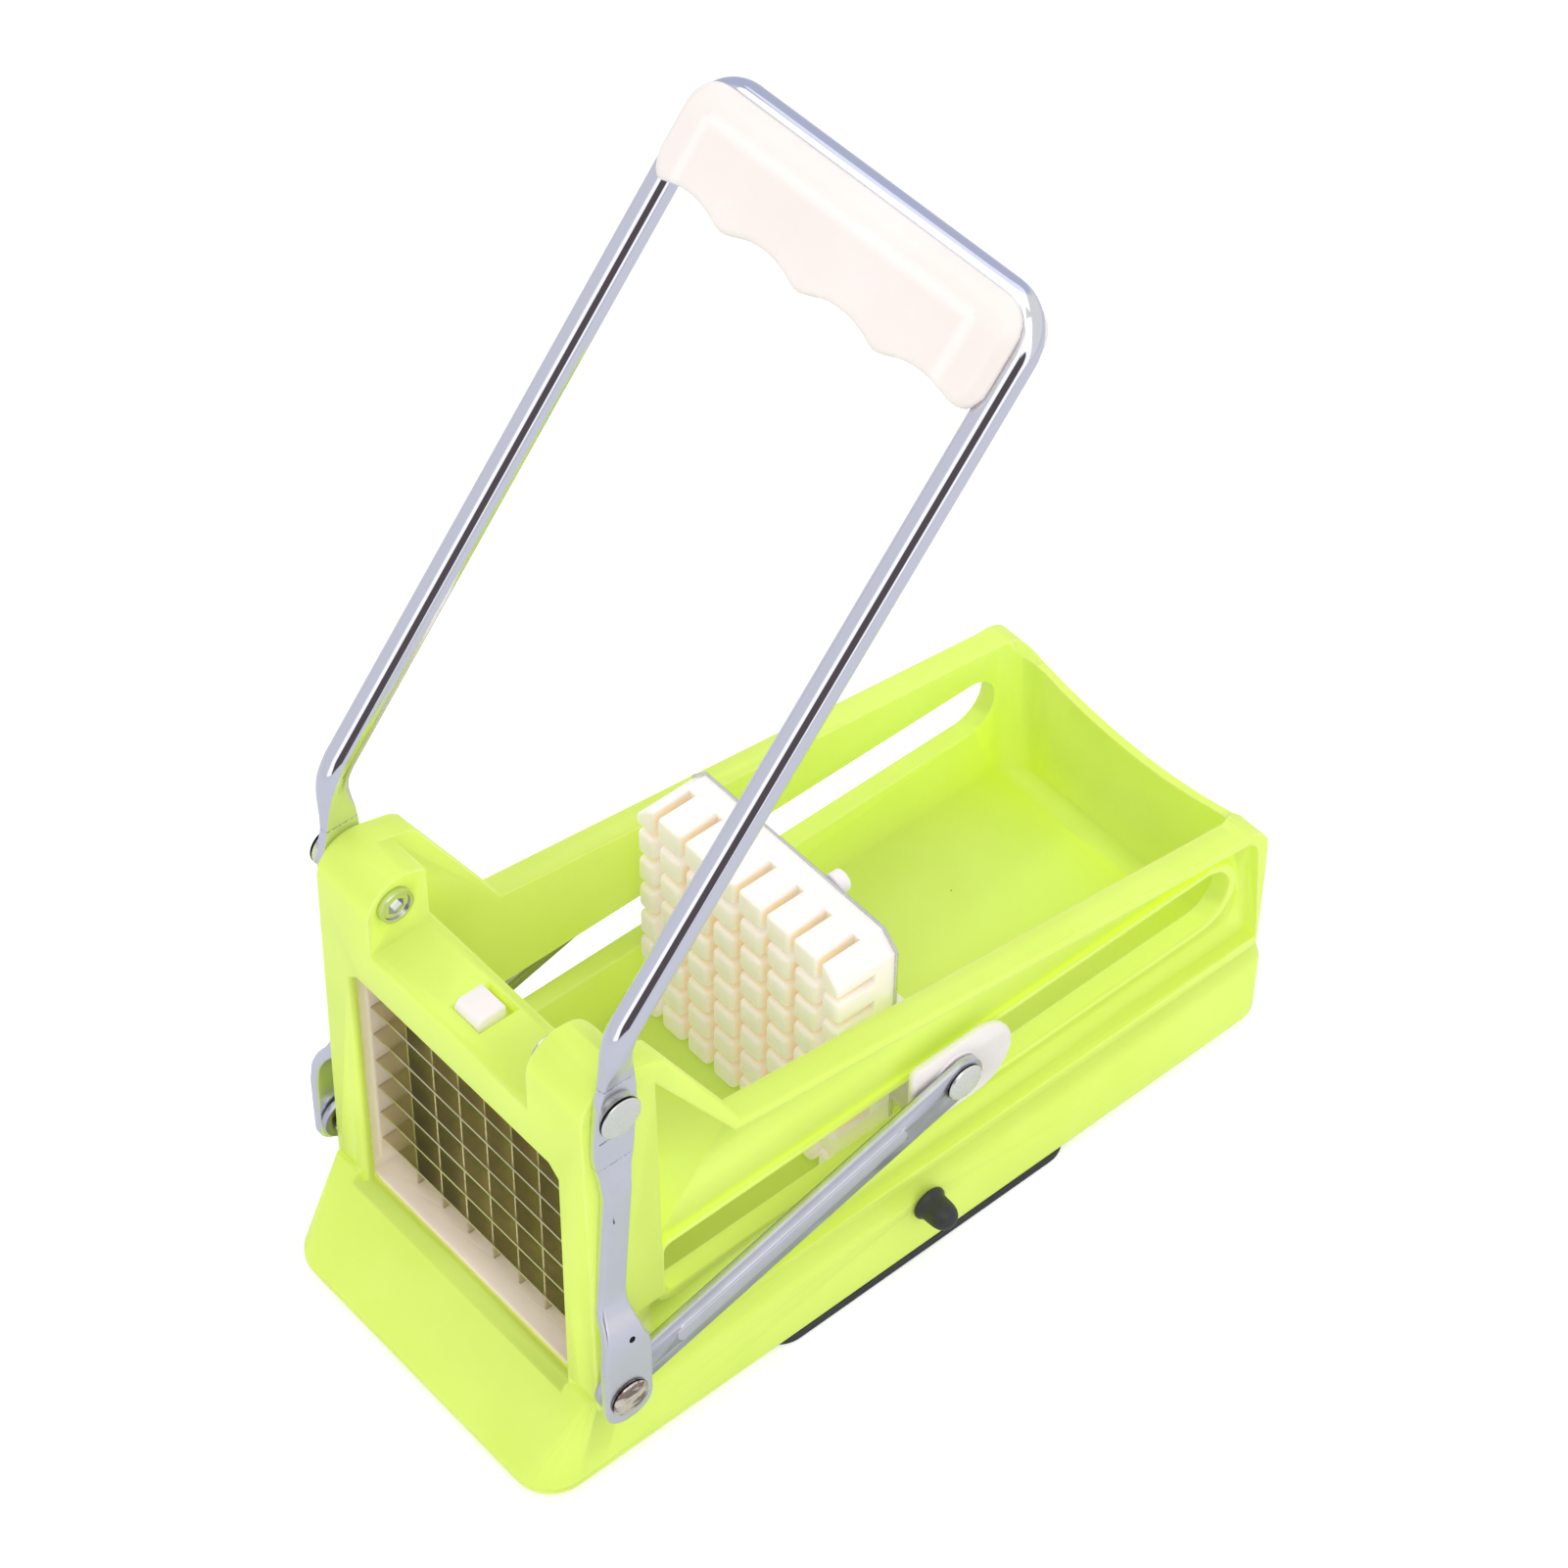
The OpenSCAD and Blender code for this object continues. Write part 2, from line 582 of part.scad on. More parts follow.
// pivot: a sleeve nut outside, a socket-head bolt inside
module pivot_nuts() {
  color([0.76, 0.77, 0.80]) at_grid() both() difference() {
    union() {
      rod_x(out + 0.02, leg_x + leg_t + 0.4, piv_y, piv_z, pivot_d + 2);
      domed_head(leg_x + leg_t + 0.4, piv_y, piv_z, 10.2, 1.6);
    }
    rod_x(out - 1, out + 1.8, piv_y, piv_z, 3.6);
  }
}
module domed_head(x, y, z, d, h) {
  translate([x, y, z]) rotate([0, 90, 0]) rotate_extrude($fn = 64)
    polygon([[0, 0], [d / 2, 0], [d / 2, h * 0.35], [d * 0.44, h * 0.68], [d * 0.33, h * 0.9],
      [d * 0.18, h], [0, h]]);
}
module pivot_bolts() {
  color([0.83, 0.84, 0.86]) at_grid() both() {
    rod_x(27, out, piv_y, piv_z, pivot_d);
    rod_x(out - 0.1, out + 1.6, piv_y, piv_z, 3.56);
    difference() {
      rod_x(25, 27.05, piv_y, piv_z, 6.6);
      translate([24, piv_y, piv_z]) rotate([0, 90, 0]) cylinder(h = 2.6, d = 4.4, $fn = 6);
    }
  }
}
module pivot_rings() {
  color([0.83, 0.84, 0.86]) at_grid() both() difference() {
    rod_x(24.5, 27.1, piv_y, piv_z, 8.3);
    rod_x(24, 28, piv_y, piv_z, 6.7);
  }
}
module lower_rivets() {
  color([0.72, 0.66, 0.62]) at_grid() both() {
    rod_x(46.05, low_x, riv_y, riv_z, rivet_d);
    rod_x(low_x - 0.1, low_x + leg_t, riv_y, riv_z, rivet_d);
    rod_x(45.95, 46.6, riv_y, riv_z, 7.6);
    domed_head(low_x + leg_t, riv_y, riv_z, 9.6, 1.5);
  }
}
// pressed link with a long raised rib
module link(s) {
  side(s) difference() {
    translate([0, riv_y, riv_z]) rotate([link_a, 0, 0]) {
      along_x(link_x, link_x + link_t) {
        circle(d = link_w, $fn = 48);
        translate([0, -link_w / 2]) square([link_l, link_w]);
        translate([link_l, 0]) circle(d = link_w, $fn = 48);
      }
    }
    rod_x(link_x - 1, link_x + 5, riv_y, riv_z, rivet_d + 2 * pivot_gap);
    rod_x(link_x - 1, link_x + 5, pin_y, pin_z, rivet_d + 0.02);
    // hollow behind the rib
    translate([0, riv_y, riv_z]) rotate([link_a, 0, 0])
      along_x(link_x - 0.01, link_x + 0.7) rect(18, link_l - 19, -1.8, 1.8, 1.79);
  }
  side(s) translate([0, riv_y, riv_z]) rotate([link_a, 0, 0])
    along_x(link_x + link_t - 0.1, link_x + link_t + 0.4) rect(16, link_l - 17, -2.6, 2.6, 2.59);
}
module link_right() { color([0.77, 0.78, 0.82]) at_grid() link(1); }
module link_left() { color([0.77, 0.78, 0.82]) at_grid() link(-1); }
module wing_pin(s) {
  color([0.76, 0.77, 0.80]) at_grid() side(s) {
    rod_x(link_x - 0.02, link_x + link_t, pin_y, pin_z, rivet_d);
    domed_head(link_x + link_t, pin_y, pin_z, 9.4, 1.5);
  }
}
module wing_pin_right() { wing_pin(1); }
module wing_pin_left() { wing_pin(-1); }

// suction base: rubber pad, bonded plate, pull yoke over an eccentric shaft
module suction_pad() {
  z0 = -base_h;
  z1 = -skirt_h;
  color([0.13, 0.13, 0.14]) at_grid() difference() {
    union() {
      translate([0, 0, z0]) linear_extrude(pad_drop - 0.6)
        rect(-foot_x - 0.2, foot_x + 0.2, pad_y - pad_l / 2, pad_y + pad_l / 2, 8);
      translate([0, 0, z1 - 0.7]) linear_extrude(0.7)
        rect(-foot_x + 0.8, foot_x - 0.8, pad_y - pad_l / 2 + 1, pad_y + pad_l / 2 - 1, 7);
      translate([0, pad_y, z1 - 0.1]) cylinder(h = 2, d = 78, $fn = 96);
    }
    // shallow suction ring round a flat centre
    translate([0, pad_y, z0]) rotate_extrude($fn = 96)
      polygon([[12, -1], [39, -1], [39, 0], [36, 0.8], [14, 0.8], [12, 0]]);
    translate([0, pad_y, z1 + 0.4]) cylinder(h = 4, d = 61, $fn = 96);
  }
}
module suction_plate() {
  z1 = -skirt_h + 0.4;
  color([0.75, 0.76, 0.78]) at_grid() translate([0, pad_y, z1]) cylinder(h = 1.4, d = 60, $fn = 96);
}
// cradle under the cam: open at the top, so the cam presses it down
module suction_yoke() {
  z1 = -skirt_h + 1.8;
  color([0.75, 0.76, 0.78]) at_grid() along_x(-4, 4) difference() {
    rect(pad_y - 10, pad_y + 10, z1, cam_z + 3, 0.6);
    translate([pad_y - 6.4, cam_z - 6.1]) square([12.8, 20]);
  }
}
module cam_shaft() {
  color([0.75, 0.76, 0.78]) at_grid() {
    rod_x(-26, foot_x + 1, pad_y, cam_z, shaft_d);
    rod_x(-3.4, 3.4, pad_y, cam_z - 1.6, 8.4);
  }
}
module suction_knob() {
  kx = foot_x - 0.45;
  r = knob_d / 2;
  color([0.16, 0.17, 0.17]) at_grid() difference() {
    translate([kx, pad_y, cam_z]) union() {
      rotate([0, 90, 0]) rotate_extrude($fn = 64)
        polygon([[0, 0], [r, 0], [r, 4.4], [r * 0.95, 5.7], [r * 0.78, 7], [r * 0.5, 7.9],
          [r * 0.2, 8.3], [0, 8.3]]);
      rotate([90, 0, 90]) linear_extrude(1.4) {
        circle(r = r + 0.9, $fn = 64);
        translate([-r - 1.8, -1.4]) square([3, 2.8]);
      }
    }
    rod_x(kx - 1, foot_x + 1.02, pad_y, cam_z, shaft_d + 0.02);
  }
}
module shaft_clip() {
  color([0.60, 0.61, 0.63]) at_grid() difference() {
    rod_x(-24.6, -23.4, pad_y, cam_z, shaft_d + 2.4);
    rod_x(-25, -23, pad_y, cam_z, shaft_d + 0.02);
  }
}

housing();
blade_frame();
blades_level();
blades_upright();
blade_latch();
pusher_block();
pusher_plate();
pusher_carrier();
pusher_screws();
wing_plates();
lever_tube();
grip_front();
grip_back();
grip_screws();
pivot_bolts();
pivot_nuts();
pivot_rings();
lower_rivets();
link_right();
link_left();
wing_pin_right();
wing_pin_left();
suction_pad();
suction_plate();
suction_yoke();
cam_shaft();
suction_knob();
shaft_clip();
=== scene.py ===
import json
import math

import bmesh
import bpy
from mathutils import Matrix, Vector, geometry
from mathutils.bvhtree import BVHTree

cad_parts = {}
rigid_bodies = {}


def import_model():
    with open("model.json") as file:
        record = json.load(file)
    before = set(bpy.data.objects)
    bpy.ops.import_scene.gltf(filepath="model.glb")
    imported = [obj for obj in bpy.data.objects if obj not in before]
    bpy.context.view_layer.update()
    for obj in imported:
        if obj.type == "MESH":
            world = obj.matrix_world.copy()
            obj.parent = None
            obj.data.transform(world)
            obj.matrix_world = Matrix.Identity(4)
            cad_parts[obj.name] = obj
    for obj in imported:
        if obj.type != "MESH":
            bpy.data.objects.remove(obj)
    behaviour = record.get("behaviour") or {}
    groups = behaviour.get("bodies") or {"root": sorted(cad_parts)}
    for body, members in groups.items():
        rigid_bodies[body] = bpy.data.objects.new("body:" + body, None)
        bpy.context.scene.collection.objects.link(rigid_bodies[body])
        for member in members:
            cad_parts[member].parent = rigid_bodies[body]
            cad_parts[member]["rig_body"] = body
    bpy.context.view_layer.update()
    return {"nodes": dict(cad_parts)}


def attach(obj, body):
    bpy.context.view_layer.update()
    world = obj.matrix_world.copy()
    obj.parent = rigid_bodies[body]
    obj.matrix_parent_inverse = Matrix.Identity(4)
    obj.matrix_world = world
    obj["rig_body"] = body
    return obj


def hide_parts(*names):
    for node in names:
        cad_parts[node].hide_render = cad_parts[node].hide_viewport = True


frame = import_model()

# sizes are in millimetres and turned into the scene's metres by this; materials work in metres
MM = 0.001

# the lever: its pivot, its lean from level, and the tube's radius, offset, length and corner
PIVOT_Y, PIVOT_Z = -87.8, 121.3
PIVOT = Vector((0, PIVOT_Y, PIVOT_Z))
LEAN = math.radians(50.3)
TUBE_RADIUS = 3.3
TUBE_OFF = 13.4
REACH = 181.5
CORNER = 9.0
YOKE = 46.0

# the links: the lower rivets, the wing pins, and the tilt from one to the other
RIVET_Y, RIVET_Z = -90.898, 33.255
WING_Y, WING_Z = 5.741, 58.57
LINK_TILT = math.radians(14.68)

# the prong block: cells each way, their pitch, and the height of the lowest one's foot
CELLS = 8
PITCH = 9.0
GRID_LOW = 25.5

nodes = frame["nodes"]
body_of_node = {name: obj["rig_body"] for name, obj in nodes.items()}

# ---------------------------------------------------------------- camera

CAMERA_AT = (0.48196006, -0.42734104, 0.81924487)
CAMERA_RIGHT = (0.65330329, 0.75705470, 0.00793653)
CAMERA_UP = (-0.56139695, 0.47737309, 0.67597959)
CAMERA_BACK = (0.50796484, -0.44607524, 0.73687761)
CAMERA_LENS = 103.13


def make_camera():
    data = bpy.data.cameras.new("camera")
    data.lens = CAMERA_LENS
    data.sensor_width = 36
    data.clip_start, data.clip_end = 0.05, 50
    cam = bpy.data.objects.new("camera", data)
    bpy.context.scene.collection.objects.link(cam)
    axes = Matrix((CAMERA_RIGHT, CAMERA_UP, CAMERA_BACK)).transposed().to_4x4()
    axes.translation = Vector(CAMERA_AT)
    cam.matrix_world = axes
    bpy.context.scene.camera = cam


make_camera()
bpy.context.scene.view_settings.view_transform = "Standard"

# ---------------------------------------------------------------- node helpers


class Tree:
    """A node tree with short calls for adding nodes and wires."""

    def __init__(self, tree):
        self.tree = tree

    def add(self, kind, wires=None, **settings):
        node = self.tree.nodes.new(kind)
        for key, value in settings.items():
            setattr(node, key, value)
        for socket, value in (wires or {}).items():
            self.put(node.inputs[socket], value)
        return node

    def put(self, socket, value):
        if isinstance(value, bpy.types.NodeSocket):
            self.tree.links.new(value, socket)
        else:
            socket.default_value = value

    def maths(self, operation, a, b=0.0):
        return self.add("ShaderNodeMath", {0: a, 1: b}, operation=operation).outputs[0]

    def plus(self, a, b):
        return self.maths("ADD", a, b)

    def minus(self, a, b):
        return self.maths("SUBTRACT", a, b)

    def times(self, a, b):
        return self.maths("MULTIPLY", a, b)

    def ramp(self, value, low, high, to_low=0.0, to_high=1.0):
        """A smooth step from to_low to to_high as the value goes from low to high."""
        wires = {0: value, 1: low, 2: high, 3: to_low, 4: to_high}
        return self.add("ShaderNodeMapRange", wires, interpolation_type="SMOOTHSTEP").outputs[0]

    def mix(self, share, a, b):
        """Colour a, turning to colour b by the share."""
        node = self.add("ShaderNodeMix", {0: share, 6: a, 7: b}, data_type="RGBA",
                        clamp_factor=True)
        return node.outputs[2]

    def parts(self, vector):
        return self.add("ShaderNodeSeparateXYZ", {0: vector}).outputs

    def facing(self):
        """The x, y and z parts of the way that the surface faces."""
        return self.parts(self.add("ShaderNodeNewGeometry").outputs["Normal"])

    def noise(self, vector, scale, detail=2.0, rough=0.5):
        return self.add("ShaderNodeTexNoise", {"Vector": vector, "Scale": scale, "Detail": detail,
                                               "Roughness": rough}).outputs[0]


def new_group(name, inputs, outputs):
    """A shader node group with named float (F) or vector (V) sockets."""
    group = bpy.data.node_groups.new(name, "ShaderNodeTree")
    kinds = {"F": "NodeSocketFloat", "V": "NodeSocketVector"}
    for label, kind, value in inputs:
        socket = group.interface.new_socket(name=label, in_out="INPUT", socket_type=kinds[kind])
        socket.default_value = value
    for label, kind in outputs:
        group.interface.new_socket(name=label, in_out="OUTPUT", socket_type=kinds[kind])
    tree = Tree(group)
    return tree, tree.add("NodeGroupInput").outputs, tree.add("NodeGroupOutput")


def rgb(*value):
    """A colour given as 0-255 screen values, as the linear numbers that the shader reads."""
    return tuple((c / 255 / 12.92 if c < 10.3 else ((c / 255 + 0.055) / 1.055) ** 2.4)
                 for c in value) + (1.0,)


# ---------------------------------------------------------------- shared effects


def group_grain():
    """Fine moulded grain: a height, and a slow mottle for tone and gloss."""
    t, i, out = new_group("moulded_grain", [("Vector", "V", (0, 0, 0)), ("Grain", "F", 900.0),
                                            ("Mottle", "F", 40.0)],
                          [("Height", "F"), ("Mottle", "F")])
    fine = t.noise(i["Vector"], i["Grain"], 3.0, 0.6)
    slow = t.noise(i["Vector"], i["Mottle"], 3.0, 0.55)
    t.put(out.inputs["Height"], fine)
    t.put(out.inputs["Mottle"], slow)
    return t.tree


def group_edge_highlights():
    """Marks a surface near its edges, broken up by noise, for painted highlights along the edges.
    """
    t, i, out = new_group("rubbed_edges", [("Vector", "V", (0, 0, 0)), ("Radius", "F", 0.0008),
                                           ("Breakup", "F", 260.0)], [("Mask", "F")])
    bevel = t.add("ShaderNodeBevel", {"Radius": i["Radius"]}, samples=6)
    normal = t.add("ShaderNodeNewGeometry").outputs["Normal"]
    dot = t.add("ShaderNodeVectorMath", {0: bevel.outputs[0], 1: normal}, operation="DOT_PRODUCT")
    bent = t.minus(1.0, dot.outputs["Value"])
    noise = t.noise(i["Vector"], i["Breakup"], 2.0)
    t.put(out.inputs["Mask"], t.ramp(t.times(bent, noise), 0.01, 0.09))
    return t.tree


def group_scratches():
    """Fine hair scratches drawn out along one direction, as a mask."""
    t, i, out = new_group("hair_scratches", [("Vector", "V", (0, 0, 0)),
                                             ("Stretch", "V", (40.0, 900.0, 900.0)),
                                             ("Amount", "F", 0.35)],
                          [("Mask", "F"), ("Lines", "F")])
    stretched = t.add("ShaderNodeVectorMath", {0: i["Vector"], 1: i["Stretch"]},
                      operation="MULTIPLY").outputs[0]
    lines = t.noise(stretched, 1.0, 4.0, 0.65)
    patch = t.noise(i["Vector"], 60.0, 2.0)
    low = t.minus(0.86, i["Amount"])
    t.put(out.inputs["Mask"], t.ramp(t.plus(lines, t.times(patch, 0.25)), low, t.plus(low, 0.12)))
    t.put(out.inputs["Lines"], lines)
    return t.tree


def group_specks():
    """Sparse dark specks, as stray dirt moulded into or lying on a surface."""
    t, i, out = new_group("dirt_specks", [("Vector", "V", (0, 0, 0)), ("Scale", "F", 90.0),
                                          ("Size", "F", 0.035)], [("Mask", "F")])
    cells = t.add("ShaderNodeTexVoronoi", {"Vector": i["Vector"], "Scale": i["Scale"]})
    chance = t.add("ShaderNodeSeparateColor", {0: cells.outputs["Color"]}).outputs[0]
    near = t.ramp(cells.outputs["Distance"], t.times(i["Size"], 0.5), i["Size"], 1.0, 0.0)
    t.put(out.inputs["Mask"], t.times(near, t.maths("GREATER_THAN", chance, 0.93)))
    return t.tree


def group_recess_shade():
    """Marks the deep, narrow places between neighbouring walls, where light turns warm, for painted
    shade.
    """
    t, i, out = new_group("recess_mask", [("Reach", "F", 0.005), ("Low", "F", 0.25),
                                          ("High", "F", 0.75)], [("Mask", "F")])
    open_share = t.add("ShaderNodeAmbientOcclusion", {"Distance": i["Reach"]}, samples=8,
                       only_local=True).outputs["AO"]
    t.put(out.inputs["Mask"], t.ramp(open_share, i["Low"], i["High"], 1.0, 0.0))
    return t.tree


def group_band():
    """A soft-edged window on one number: 1 between Low and High, 0 outside."""
    t, i, out = new_group("soft_band", [("Value", "F", 0.0), ("Low", "F", 0.0), ("High", "F", 1.0),
                                        ("Soft", "F", 0.0005)], [("Mask", "F")])
    above = t.ramp(i["Value"], t.minus(i["Low"], i["Soft"]), i["Low"])
    below = t.ramp(i["Value"], i["High"], t.plus(i["High"], i["Soft"]), 1.0, 0.0)
    t.put(out.inputs["Mask"], t.times(above, below))
    return t.tree


GRAIN, EDGE_HIGHLIGHTS, SCRATCHES, SPECKS = group_grain(), group_edge_highlights(), group_scratches(), group_specks()
RECESS_SHADE, BAND = group_recess_shade(), group_band()


def new_material(name):
    """A material with its tree, its shader and the place of a point in the piece's own frame."""
    material = bpy.data.materials.new(name)
    material.use_nodes = True
    material.node_tree.nodes.clear()
    tree = Tree(material.node_tree)
    shader = tree.add("ShaderNodeBsdfPrincipled")
    tree.add("ShaderNodeOutputMaterial", {"Surface": shader.outputs[0]})
    place = tree.add("ShaderNodeTexCoord").outputs["Object"]
    return material, tree, shader, place


def use(tree, group, **values):
    """Places a shared effect with its own values, and gives its outputs."""
    node = tree.add("ShaderNodeGroup")
    node.node_tree = group
    for key, value in values.items():
        tree.put(node.inputs[key], value)
    return node.outputs


def band(tree, value, low, high, soft):
    """1 where the value lies between low and high, 0 outside."""
    return use(tree, BAND, Value=value, Low=low, High=high, Soft=soft)["Mask"]


def fill_in(tree, shader, values):
    for socket, value in values.items():
        tree.put(shader.inputs[socket], value)


def painted_ridge_highlights(t, place, base):
    """Painted highlight: pale lines along the top and the ends of the grip's face, where its ridge
    turns.
    """
    top, end, half, soft = 0.1755, 0.0375, 0.0002, 0.0018
    x, y, z = t.parts(place)
    up = t.plus(t.times(t.minus(y, PIVOT_Y * MM), math.cos(LEAN)),
                t.times(t.minus(z, PIVOT_Z * MM), math.sin(LEAN)))
    side = t.maths("ABSOLUTE", x)
    along = t.times(band(t, up, top - half, top + half, soft), t.maths("LESS_THAN", side, end))
    down = t.times(band(t, side, end - half, end + half, soft), t.maths("LESS_THAN", up, top))
    return t.mix(t.times(t.maths("MAXIMUM", along, down), 0.4), base, rgb(255, 252, 250))


def painted_light_by_facing(t, place, base, painted_hollow_mask, side_painted_light):
    """Painted light: the glow a surface gives off in place of fill light, more on upright faces, in
    hollows and on faces turned straight up, less at the rear.
    """
    rear_wall, rear_loss, hollow_gain, level_gain = 0.06, 1.1, 1.1, 0.35
    _, ahead, up = t.facing()
    level = t.ramp(t.maths("ABSOLUTE", up), 0.2, 0.8, side_painted_light, 1.0)
    rear = t.times(t.ramp(ahead, -0.9, -0.6, rear_loss, 0.0),
                   t.maths("GREATER_THAN", t.parts(place)[1], rear_wall))
    level = t.plus(t.minus(level, rear), t.times(painted_hollow_mask, hollow_gain))
    level = t.plus(level, t.ramp(up, 0.93, 0.985, 0.0, level_gain))
    return t.add("ShaderNodeVectorMath", {0: base, "Scale": level}, operation="SCALE").outputs[0]


def plastic(name, colour, deep, pale, rough, grain=0.0015, scatter=0.12, radius=(1.0, 1.0, 0.3),
            reach=0.002, edge=0.5, round_off=0.0004, specks=0.6, glow=0.0, recess_shade=None,
            side_painted_light=0.0, ridge=False):
    """Injection-moulded plastic: soft edges, faint grain, slow tone change, a few dark specks, with
    painted highlights on edges, painted shade in hollows and a painted glow.
    """
    material, t, shader, place = new_material(name)
    grain_out = use(t, GRAIN, Vector=place, Grain=1400.0, Mottle=35.0)
    edge_highlight = use(t, EDGE_HIGHLIGHTS, Vector=place, Radius=0.0011)["Mask"]
    dirt = use(t, SPECKS, Vector=place, Scale=70.0, Size=0.022)["Mask"]
    base = t.mix(t.ramp(grain_out["Mottle"], 0.3, 0.7), deep, colour)
    # painted highlight: a pale colour along the edges where light catches them
    base = t.mix(t.times(edge_highlight, edge), base, pale)
    # painted shade: hollows take a deeper, warmer tint where shade falls
    if recess_shade:
        recess_shade_colour, reach_in = recess_shade
        painted_hollow_mask = use(t, RECESS_SHADE, Reach=reach_in, High=0.85 if side_painted_light else 0.75)["Mask"]
        base = t.mix(painted_hollow_mask, base, recess_shade_colour)
    base = t.mix(t.times(dirt, specks), base, rgb(70, 66, 50))
    # painted highlight lines along the grip's ridge
    if ridge:
        base = painted_ridge_highlights(t, place, base)
    soft = t.add("ShaderNodeBevel", {"Radius": round_off}, samples=8).outputs[0]
    bump = t.add("ShaderNodeBump", {"Strength": 0.25, "Distance": grain * MM,
                                    "Height": grain_out["Height"], "Normal": soft})
    # the emission is painted light: a glow that stands in for fill light
    fill_in(t, shader, {
        "Base Color": base,
        "Emission Color": painted_light_by_facing(t, place, base, painted_hollow_mask, side_painted_light) if side_painted_light else base,
        "Emission Strength": glow,
        "Roughness": t.ramp(grain_out["Mottle"], 0.25, 0.75, rough - 0.05, rough + 0.06),
        "Subsurface Weight": scatter, "Subsurface Radius": radius, "Subsurface Scale": reach,
        "IOR": 1.48, "Normal": bump.outputs[0]})
    return material


def painted_rib_light_and_shade(t, place, base):
    """Painted light and shade on a link: its long rib as a pale band with a painted highlight on
    one edge and painted shade on the other, and painted shade on its inner face.
    """
    x, y, z = t.parts(place)
    rise, run = math.sin(LINK_TILT), math.cos(LINK_TILT)
    dy, dz = t.minus(y, RIVET_Y * MM), t.minus(z, RIVET_Z * MM)
    along = t.plus(t.times(dy, run), t.times(dz, rise))
    across = t.minus(t.times(dz, run), t.times(dy, rise))
    inside = band(t, along, 0.0168, 0.0826, 0.0008)
    # painted light and shade: a pale rib band, a painted highlight line and a painted shade line
    for low, high, share, tone in ((-0.0022, 0.0022, 0.3, rgb(246, 246, 248)),
                                   (0.0017, 0.0020, 0.7, rgb(255, 255, 255)),
                                   (-0.0027, -0.0024, 0.6, rgb(150, 150, 160))):
        line = band(t, across, low, high, 0.0002)
        base = t.mix(t.times(t.times(line, inside), share), base, tone)
    # painted shade on the faces that turn inward
    inward = t.ramp(t.times(t.facing()[0], t.maths("SIGN", x)), -0.6, -0.3, 1.0, 0.0)
    return t.mix(t.times(inward, 0.8), base, rgb(128, 126, 112))


def metal(name, colour, stain, rough, stretch, scratch, lines=0.0, dent=0.0,
          scratch_colour=None, glow=0.0, flank=False, rib=False):
    """Bare or plated metal: drawn-out scratches, slow stains, optional pits, and optional painted
    light and shade: a dark reflection on flanks, lines along a rib, a glow.
    """
    material, t, shader, place = new_material(name)
    marks = use(t, SCRATCHES, Vector=place, Stretch=stretch, Amount=scratch)
    grain_out = use(t, GRAIN, Vector=place, Grain=2200.0, Mottle=55.0)
    base = t.mix(t.ramp(grain_out["Mottle"], 0.35, 0.72), colour, stain)
    if scratch_colour:
        base = t.mix(marks["Mask"], base, scratch_colour)
    # painted dark reflection: the upright flank of a head turns near black
    if flank:
        painted_dark_flank = t.ramp(t.maths("ABSOLUTE", t.facing()[0]), 0.25, 0.6, 1.0, 0.0)
        base = t.mix(painted_dark_flank, base, rgb(26, 25, 27))
    # painted light and shade along the link's rib
    if rib:
        base = painted_rib_light_and_shade(t, place, base)
    soft = t.add("ShaderNodeBevel", {"Radius": 0.0002}, samples=6).outputs[0]
    height = t.plus(t.times(marks["Lines"], lines), t.times(grain_out["Height"], dent))
    bump = t.add("ShaderNodeBump", {"Strength": 0.5, "Distance": 0.00002, "Height": height,
                                    "Normal": soft})
    spread = t.ramp(grain_out["Mottle"], 0.3, 0.7, rough - 0.02, rough + 0.04)
    # the emission is painted light, a glow that stands in for fill light
    fill_in(t, shader, {
        "Base Color": base, "Emission Color": base, "Emission Strength": glow, "Metallic": 1.0,
        "Roughness": t.plus(t.times(marks["Mask"], 0.12), spread), "Normal": bump.outputs[0]})
    return material


